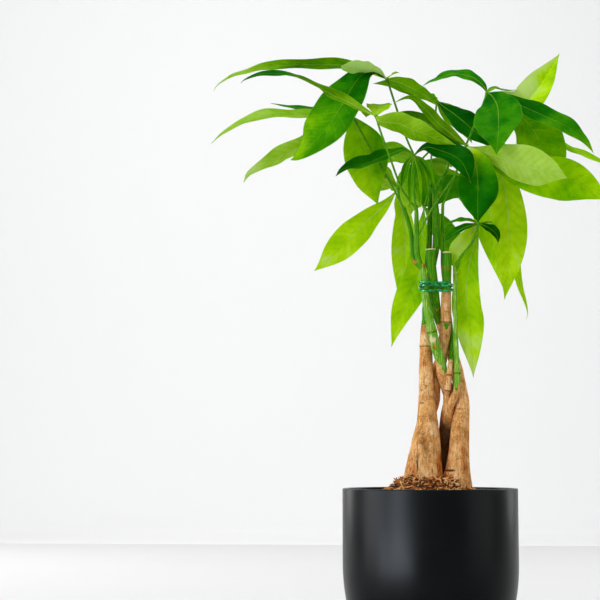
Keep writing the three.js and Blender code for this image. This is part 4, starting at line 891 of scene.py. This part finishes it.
def stalk(piece, places):
    """A leaf's stalk, thicker where it leaves its stem and where its leaflets join."""
    length = sum((seen(b) - seen(a)).length for a, b in zip(places, places[1:]))
    steps = max(6, round(length / STALK_STEP))
    points = along_path([seen(place) for place in places], [i / steps for i in range(steps + 1)])
    ways = directions(points)
    points += [points[-1] + ways[-1] * beyond for beyond in HUB_BEYOND]
    ways += [ways[-1]] * 2
    side = Vector((1, 0, 0))
    rings = []
    for i, (point, way) in enumerate(zip(points, ways)):
        side = (side - way * side.dot(way)).normalized()
        left = max(0, min(1, (steps - i) * length / steps / HUB_FLARE_LENGTH))
        started = min(1, i * length / steps / FOOT_FLARE_LENGTH)
        radius = STALK_RADIUS * (1 + FOOT_FLARE * (1 - started) ** 2 + HUB_FLARE * (1 - left) ** 2)
        radius *= (1, *HUB_TAPER)[max(0, i - steps)]
        rings.append(ring_about(point, way, side, [radius] * STALK_SIDES))
    piece.skin(rings, (0, 0, 0, 1), STALK_TONE, [STEM])


def fine_rows(rows, bark_top=0):
    """Rows close together along the smooth curve through rows, and where its bark ends among them: at
    the first of the given rows past its foot that is as high as bark_top."""
    fine = []
    cut = None
    for i in range(len(rows) - 1):
        if i and cut is None and rows[i][1] >= bark_top:
            cut = len(fine)
        steps = max(1, math.ceil(math.dist(rows[i][:3], rows[i + 1][:3]) / STEM_STEP))
        fine += [row_at(rows, (i + k / steps) / (len(rows) - 1)) for k in range(steps)]
    fine.append(rows[-1])
    return fine, cut


def stem(piece, rows, sides, finish, look, low=None, high=None):
    """The stretch of a stem from fine row low to fine row high. look is its number in the tables of
    marks and rings, its tone and how green it is at each height."""
    centres = [seen(row[:3]) for row in rows]
    ways = directions(centres)
    side = Vector((1, 0, 0))
    rings, notes = [], []
    for i, (centre, way, row) in enumerate(zip(centres, ways, rows)):
        side = (side - way * side.dot(way)).normalized()
        if i < (low or 0) or (high is not None and i > high):
            continue
        radius = row[3] * MM
        radii, note = [], []
        for place, out in zip(ring_about(centre, way, side, [radius] * sides),
                              ring_about(Vector(), way, side, [1] * sides)):
            relief, paint = marks_at(place, out, row[1], radius, look)
            radii.append(radius + relief)
            note.append(paint)
        rings.append(ring_about(centre, way, side, radii))
        notes.append(note)
    piece.skin(rings, lambda i, j: notes[i][j], look["tone"], [finish])


def marks_at(place, out, up, radius, look):
    """How far a stem's skin stands out at a place, and its paint (rust, dark, pale, green)."""
    coarse = noise.noise(Vector((place.x * 90, place.y * 90, place.z * 22)))
    fine = noise.noise(Vector((place.x * 420, place.y * 420, place.z * 70)))
    relief = radius * (SWELLING * coarse + FIBRES * fine) * look["rough"]
    foot = smooth_step(*FOOT_HEIGHTS, up) if look["foot"] else 0
    ridge = noise.noise(Vector((math.atan2(out.y, out.x) * 1.6, place.z * 14, look["number"])))
    relief += foot * radius * FOOT_RIDGES * ridge
    rust = 0.35 * foot + 0.25 * coarse * look["rough"]
    dark, pale = 0.0, 0.0
    border = look["green_from"]
    green = smooth_step(border - BORDER_SPREAD, border + BORDER_SPREAD, up)
    if look["cut"]:
        pale += 1.4 * smooth_step(look["cut"] - 1.7, look["cut"] - 0.8, up)
        relief += CUT_RISE * smooth_step(look["cut"] - CUT_SPAN[0], look["cut"] - CUT_SPAN[1], up)
    for ring in look["rings"]:
        relief += RING_RISE * math.exp(-(((up - ring) / RING_WIDE) ** 2))
        dark += RING_SHADE * math.exp(-(((up - ring + RING_SHADE_BELOW) / RING_SHADE_WIDE) ** 2))
    across, height = as_seen(place)
    faces_eye = smooth_step(0.3, -0.2, out.y)
    for mark_across, mark_up, wide, high, kind, amount, rise in look["marks"]:
        from_across = (across - mark_across) / wide
        from_up = (height - mark_up) / high
        near = math.exp(-(from_across ** 2 + from_up ** 2))
        share = amount * faces_eye * near
        rust += share * (kind == "rust")
        dark += share * (kind == "dark")
        pale += share * (kind == "pale")
        green += share * (kind == "green") - share * (kind == "brown")
        relief += rise * MM * faces_eye * near
    return relief, (max(rust, 0), max(dark, 0), max(pale, 0), min(max(green, 0), 1))


def look_of(number, tone, green_from, rough=1.0, foot=False, cut=None):
    return {
        "number": number, "tone": tone, "green_from": green_from, "rough": rough, "foot": foot, "cut": cut,
        "rings": RINGS.get(number, ()), "marks": MARKS.get(number, ()),
    }


def lathe(piece, profile, sides, finish, shift=None, tone=0.5):
    """A solid of revolution about the pot's axis, from a profile of (radius, height) that runs from
    the middle of the underside round to the middle of the top. shift moves a corner of it."""
    rings = []
    for radius, height in profile:
        ring = ring_about(Vector((0, 0, height)), Vector((0, 0, 1)), Vector((1, 0, 0)), [radius] * sides)
        rings.append([shift(corner) for corner in ring] if shift else ring)
    piece.skin(rings, (0, 0, 0, 0), tone, [finish])


def bowl_points(inset, low):
    """The rounded foot of the pot, from the bottom up, with the wall set in by inset."""
    points = []
    for i in range(BOWL_STEPS + 1):
        angle = math.pi / 2 * (1 - i / BOWL_STEPS)
        radius = POT_FOOT_RADIUS + (POT_RADIUS - POT_FOOT_RADIUS) * math.cos(angle)
        points.append((radius - inset, low + (POT_BOWL_HEIGHT - low) * (1 - math.sin(angle))))
    return points


def rim_corner(radius, out):
    """A quarter circle at the top of the pot's wall: its outer edge with out 1, its inner with out -1."""
    points = []
    for i in range(RIM_STEPS + 1):
        angle = math.pi / 2 * i / RIM_STEPS
        points.append((
            radius - out * RIM_ROUND + out * RIM_ROUND * math.cos(angle),
            POT_HEIGHT - RIM_ROUND + RIM_ROUND * math.sin(angle),
        ))
    return points[::out]


def make_pot():
    piece = Piece("pot_body")
    tiny = 0.5 * MM
    profile = [(tiny, 0), (POT_FOOT_RADIUS - 1.5 * MM, 0), (POT_FOOT_RADIUS + 0.2 * MM, 0.4 * MM)]
    profile += bowl_points(0, 0)[2:]
    profile += rim_corner(POT_RADIUS, 1) + rim_corner(POT_RADIUS - POT_WALL, -1)
    profile += bowl_points(POT_WALL, POT_FLOOR)[::-1]
    profile.append((tiny, POT_FLOOR))
    lathe(piece, profile, POT_SIDES, POT)
    piece.build("pot", 35)


def mulch_height(radius):
    radius /= MM
    for (near, high), (far, low) in zip(MULCH_RISE, MULCH_RISE[1:]):
        if radius <= far:
            return (high + (low - high) * (radius - near) / (far - near)) * MM
    return MULCH_RISE[-1][1] * MM


def make_mulch():
    piece = Piece("bark_chips")
    bottom = SOIL_TOP + 0.3 * MM

    def lumpy(corner):
        if corner.z <= bottom:
            return corner
        lift = noise.noise(corner * 130) * 1.6 * MM + noise.noise(corner * 420) * 0.7 * MM
        return corner + Vector((0, 0, lift - 1.2 * MM))

    profile = [(0.5 * MM, bottom), (MULCH_RADIUS, bottom)]
    for i in range(BED_STEPS + 1):
        radius = MULCH_RADIUS * (1 - i / (BED_STEPS + 0.5))
        profile.append((radius, mulch_height(radius)))
    # The bed under the chips has a low tone: painted shade in the gaps between them.
    lathe(piece, profile, BED_SIDES, CHIPS, lumpy, 0.1)
    chance = random.Random(11)
    for _ in range(CHIP_COUNT):
        around = 2 * math.pi * chance.random()
        radius = CHIP_FIELD_RADIUS * math.sqrt(chance.random())
        place = Vector((radius * math.cos(around), radius * math.sin(around), mulch_height(radius)))
        loose = smooth_step(PILE_RADIUS + PILE_EDGE, PILE_RADIUS, radius)
        lift = -0.9 + 1.3 * loose + 1.4 * chance.random()
        chip(piece, place + Vector((0, 0, lift * MM)), 0.3 + 0.7 * loose, chance)
    piece.build("mulch", 30)


def pick(chance, least, extra):
    return least + extra * chance.random()


def chip(piece, place, loose, chance):
    """One bark chip: a long curled splinter with torn ends, which stands up more the looser it lies."""
    length = pick(chance, *CHIP_LENGTH) * MM
    width = length * pick(chance, *CHIP_WIDTH)
    thick = pick(chance, *CHIP_THICKNESS) * MM
    bend = (chance.random() - 0.5) * CHIP_BEND * loose
    turn = Matrix.Rotation(2 * math.pi * chance.random(), 3, "Z")
    turn @= Matrix.Rotation(chance.gauss(0, CHIP_TILT) * loose, 3, "X")
    turn @= Matrix.Rotation(chance.gauss(0, CHIP_TILT) * loose, 3, "Y")
    outline = []
    for k in range(CHIP_CORNERS):
        angle = 2 * math.pi * (k + 0.5 * chance.random()) / CHIP_CORNERS
        reach = pick(chance, *CHIP_CORNER_REACH)
        outline.append((math.cos(angle) * length * reach, math.sin(angle) * width * reach))
    rings = []
    for size, level in ((0.9, -1), (1, 0.6), (0.88, 1)):
        rings.append([
            place + turn @ Vector((x * size, y * size, thick * level + bend * x * x))
            for x, y in outline
        ])
    piece.skin(rings, (0, 0, 0, 0), chance.random(), [CHIPS])


def stem_at(rows, height):
    """The centre and radius of a stem at a height."""
    last = None
    for row in rows:
        centre = seen(row[:3])
        if last and centre.z >= height:
            part = (height - last[0].z) / (centre.z - last[0].z)
            return last[0].lerp(centre, part), (last[1] + part * (row[3] - last[1])) * MM
        last = centre, row[3]
    return None


def make_tie():
    """Three turns of flat plastic string pulled tight round the stems, their ends knotted at the left."""
    piece = Piece("stem_tie")
    circles = [
        stem_at(rows, height)
        for rows in (TRUNK_1, TRUNK_2, TRUNK_3, TRUNK_4, TRUNK_5) for height in TIE_SPAN
    ]
    for number, level in enumerate(TIE_LEVELS):
        centres, ways = [], []
        for i in range(TIE_STEPS):
            angle = 2 * math.pi * i / TIE_STEPS
            out = Vector((math.cos(angle), math.sin(angle), 0))
            centre, radius = max(circles, key=lambda circle: circle[0].dot(out) + circle[1])
            reach = radius + TIE_CLEAR + TIE_WIDE
            slope = TIE_SLOPE * math.sin(angle + 2.1 * number)
            slope += TIE_WAVER * noise.noise(Vector((math.cos(angle) * 4, math.sin(angle) * 4, number)))
            centres.append(Vector((centre.x + out.x * reach, centre.y + out.y * reach, level + slope)))
            ways.append(out)
        rings = []
        for i, (centre, out) in enumerate(zip(centres, ways)):
            way = (centres[(i + 1) % TIE_STEPS] - centres[i - 1]).normalized()
            rings.append(ring_about(centre, way, (out - way * out.dot(way)).normalized(), [
                TIE_WIDE + (TIE_HIGH - TIE_WIDE) * abs(math.sin(2 * math.pi * j / TIE_SIDES))
                for j in range(TIE_SIDES)
            ]))
        piece.skin(rings, (0, 0, 0, 0), 0.5, [TIE], is_loop=True)
    knot, _ = fine_rows(TIE_KNOT)
    stem(piece, knot, KNOT_SIDES, TIE, look_of(0, 0.5, 0, 0))
    piece.build("tie", 60)


def make_trunk(name, node, *numbers):
    """The bark of the stems with the given numbers."""
    piece = Piece(name)
    for number in numbers:
        rows, bark_top, sides, foot = STEMS[number]
        fine, cut = fine_rows(rows, bark_top)
        stem(piece, fine, sides, BARK, look_of(number, 0.5, bark_top, foot=foot), high=cut)
    piece.build(node, 40)


def make_top(name, node, number, tone, leaves=(), seed=0, shoots=(), stub=False):
    """The green top of a stem, with its leaves and side shoots. A stub ends in a pale cut."""
    piece = Piece(name)
    rows, bark_top, sides, _ = STEMS[number]
    fine, cut = fine_rows(rows, bark_top)
    look = look_of(number, tone, bark_top, 0.5, cut=rows[-1][1] if stub else None)
    stem(piece, fine, sides, STEM, look, low=cut)
    for shoot, shoot_tone in shoots:
        fine, _ = fine_rows(shoot)
        stem(piece, fine, STEM_SIDES, STEM, look_of(number, shoot_tone, 0, 0.4))
    chance = random.Random(seed)
    for places, leaflets in leaves:
        stalk(piece, places)
        for row in leaflets:
            leaflet(piece, places[-1], row, 2 * math.pi * chance.random())
    piece.build(node)


make_pot()
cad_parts["soil"].data.materials.clear()
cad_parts["soil"].data.materials.append(SOIL)
make_mulch()
make_trunk("bark_1", "trunk_1", 1)
make_trunk("bark_2", "trunk_2", 2)
make_trunk("bark_3", "trunk_3", 3, 6)
make_trunk("bark_4", "trunk_4", 4)
make_trunk("bark_5", "trunk_5", 5)
make_top("green_top_1", "leafy_stem_1", 1, 0.4, LEAVES_1, 3)
make_top("green_top_2", "leafy_stem_2", 2, 0.42, LEAVES_2, 4, [(SHOOT_2, 0.2)], True)
make_top("green_top_3", "leafy_stem_3", 3, 0.35, LEAVES_3, 5)
make_top("green_arm_3", "leafy_stem_3_arm", 6, 0.8, LEAVES_3_ARM, 6)
make_top("green_top_4", "leafy_stem_4", 4, 0.7, LEAVES_4, 7, [(SHOOT_4_LEFT, 0.4), (SHOOT_4_RIGHT, 0.55)])
make_top("green_top_5", "cut_stem_5", 5, 0.4, stub=True)
make_tie()


def plane_strip(name, profile, finish):
    """A floor or wall: a profile of (y, z) drawn out sideways."""
    places = [(side * HALF_WIDTH, y, z) for y, z in profile for side in (-1, 1)]
    faces = [(2 * i, 2 * i + 1, 2 * i + 3, 2 * i + 2) for i in range(len(profile) - 1)]
    mesh = bpy.data.meshes.new(name)
    mesh.from_pydata(places, [], faces)
    mesh.polygons.foreach_set("use_smooth", [True] * len(faces))
    mesh.materials.append(finish)
    strip = bpy.data.objects.new(name, mesh)
    bpy.context.collection.objects.link(strip)


# The greys are painted shade: the floor darker towards the front, the backdrop darker at the foot of its
# cove.
plane_strip("floor", [(FLOOR_FRONT, 0), (FLOOR_BACK, 0), (FLOOR_BACK + 0.004, -0.01)],
            ground_finish("floor_white", (0.4, 216), (0.9, 219), (1.27, 224), (1.59, 231), (1.8, 234)))
cove = [(FLOOR_BACK - COVE_AHEAD, -COVE_BELOW)]
for i in range(COVE_STEPS + 1):
    angle = math.pi / 2 * i / COVE_STEPS
    cove.append((WALL_BACK - COVE + COVE * math.sin(angle), COVE * (1 - math.cos(angle)) - COVE_BELOW))
cove.append((WALL_BACK, WALL_HEIGHT))
plane_strip("backdrop", cove,
            ground_finish("backdrop_white", (1.7, 228), (2.2, 232), (2.7, 246), (3.7, 248)))


def area_light(name, place, target, width, height, watts, colour=(1, 1, 1), is_gleam=False):
    """A soft box that shines on a target and isn't seen itself. A gleam only shows on shiny things."""
    light = bpy.data.lights.new(name, "AREA")
    light.shape = "RECTANGLE"
    light.size = width
    light.size_y = height
    light.energy = watts
    light.color = colour
    lamp = bpy.data.objects.new(name, light)
    lamp.location = place
    lamp.rotation_euler = (Vector(target) - Vector(place)).to_track_quat("-Z", "Y").to_euler()
    lamp.visible_camera = False
    lamp.visible_diffuse = not is_gleam
    lamp.visible_transmission = not is_gleam
    bpy.context.collection.objects.link(lamp)


area_light("window", (-1.35, -1.5, 0.95), (0, 0, 0.3), 0.5, 1.7, 16, (0.9, 0.95, 1))
area_light("left_rim", (-1.6, 1.2, 1.0), (0, 0, 0.3), 0.6, 1.8, 14)
area_light("right_rim", (1.6, 1.2, 1.0), (0, 0, 0.3), 0.6, 1.8, 12)
area_light("overhead", (-0.2, -0.3, 2.4), (0, 0, 0.3), 1.3, 1.3, 20)
area_light("wall_light", (-0.7, 1.2, 2.2), (-0.7, 3.6, 0.3), 2.7, 1.5, 29)
area_light("gleam", (-1.32, -1.55, 0.5), (0, 0, 0.1), 0.8, 1.8, 34, (0.78, 0.85, 1), True)
area_light("left_gleam", (-2, -0.5, 0.5), (0, 0, 0.1), 1.2, 1.8, 50, (0.92, 0.96, 1), True)
area_light("right_gleam", (1.7, -0.7, 0.4), (0, 0, 0.1), 1.2, 1.8, 10, (0.95, 1, 1), True)
area_light("low_gleam", (-0.42, -0.46, 0.06), (0, 0, 0.03), 0.5, 0.1, 2.2, (0.8, 0.87, 1), True)

world = bpy.data.worlds.new("room")
world.use_nodes = True
world.node_tree.nodes["Background"].inputs["Color"].default_value = (1, 1, 1, 1)
world.node_tree.nodes["Background"].inputs["Strength"].default_value = ROOM_LIGHT
scene = bpy.context.scene
scene.world = world
scene.view_settings.view_transform = "Standard"

camera_data = bpy.data.cameras.new("camera")
camera_data.lens = camera_data.sensor_width * SIGHT_LENGTH / PICTURE_WIDTH
camera = bpy.data.objects.new("camera", camera_data)
camera.location = EYE
camera.rotation_euler = (SIGHT @ Matrix.Rotation(math.pi / 2, 3, "X")).to_euler()
bpy.context.collection.objects.link(camera)
scene.camera = camera
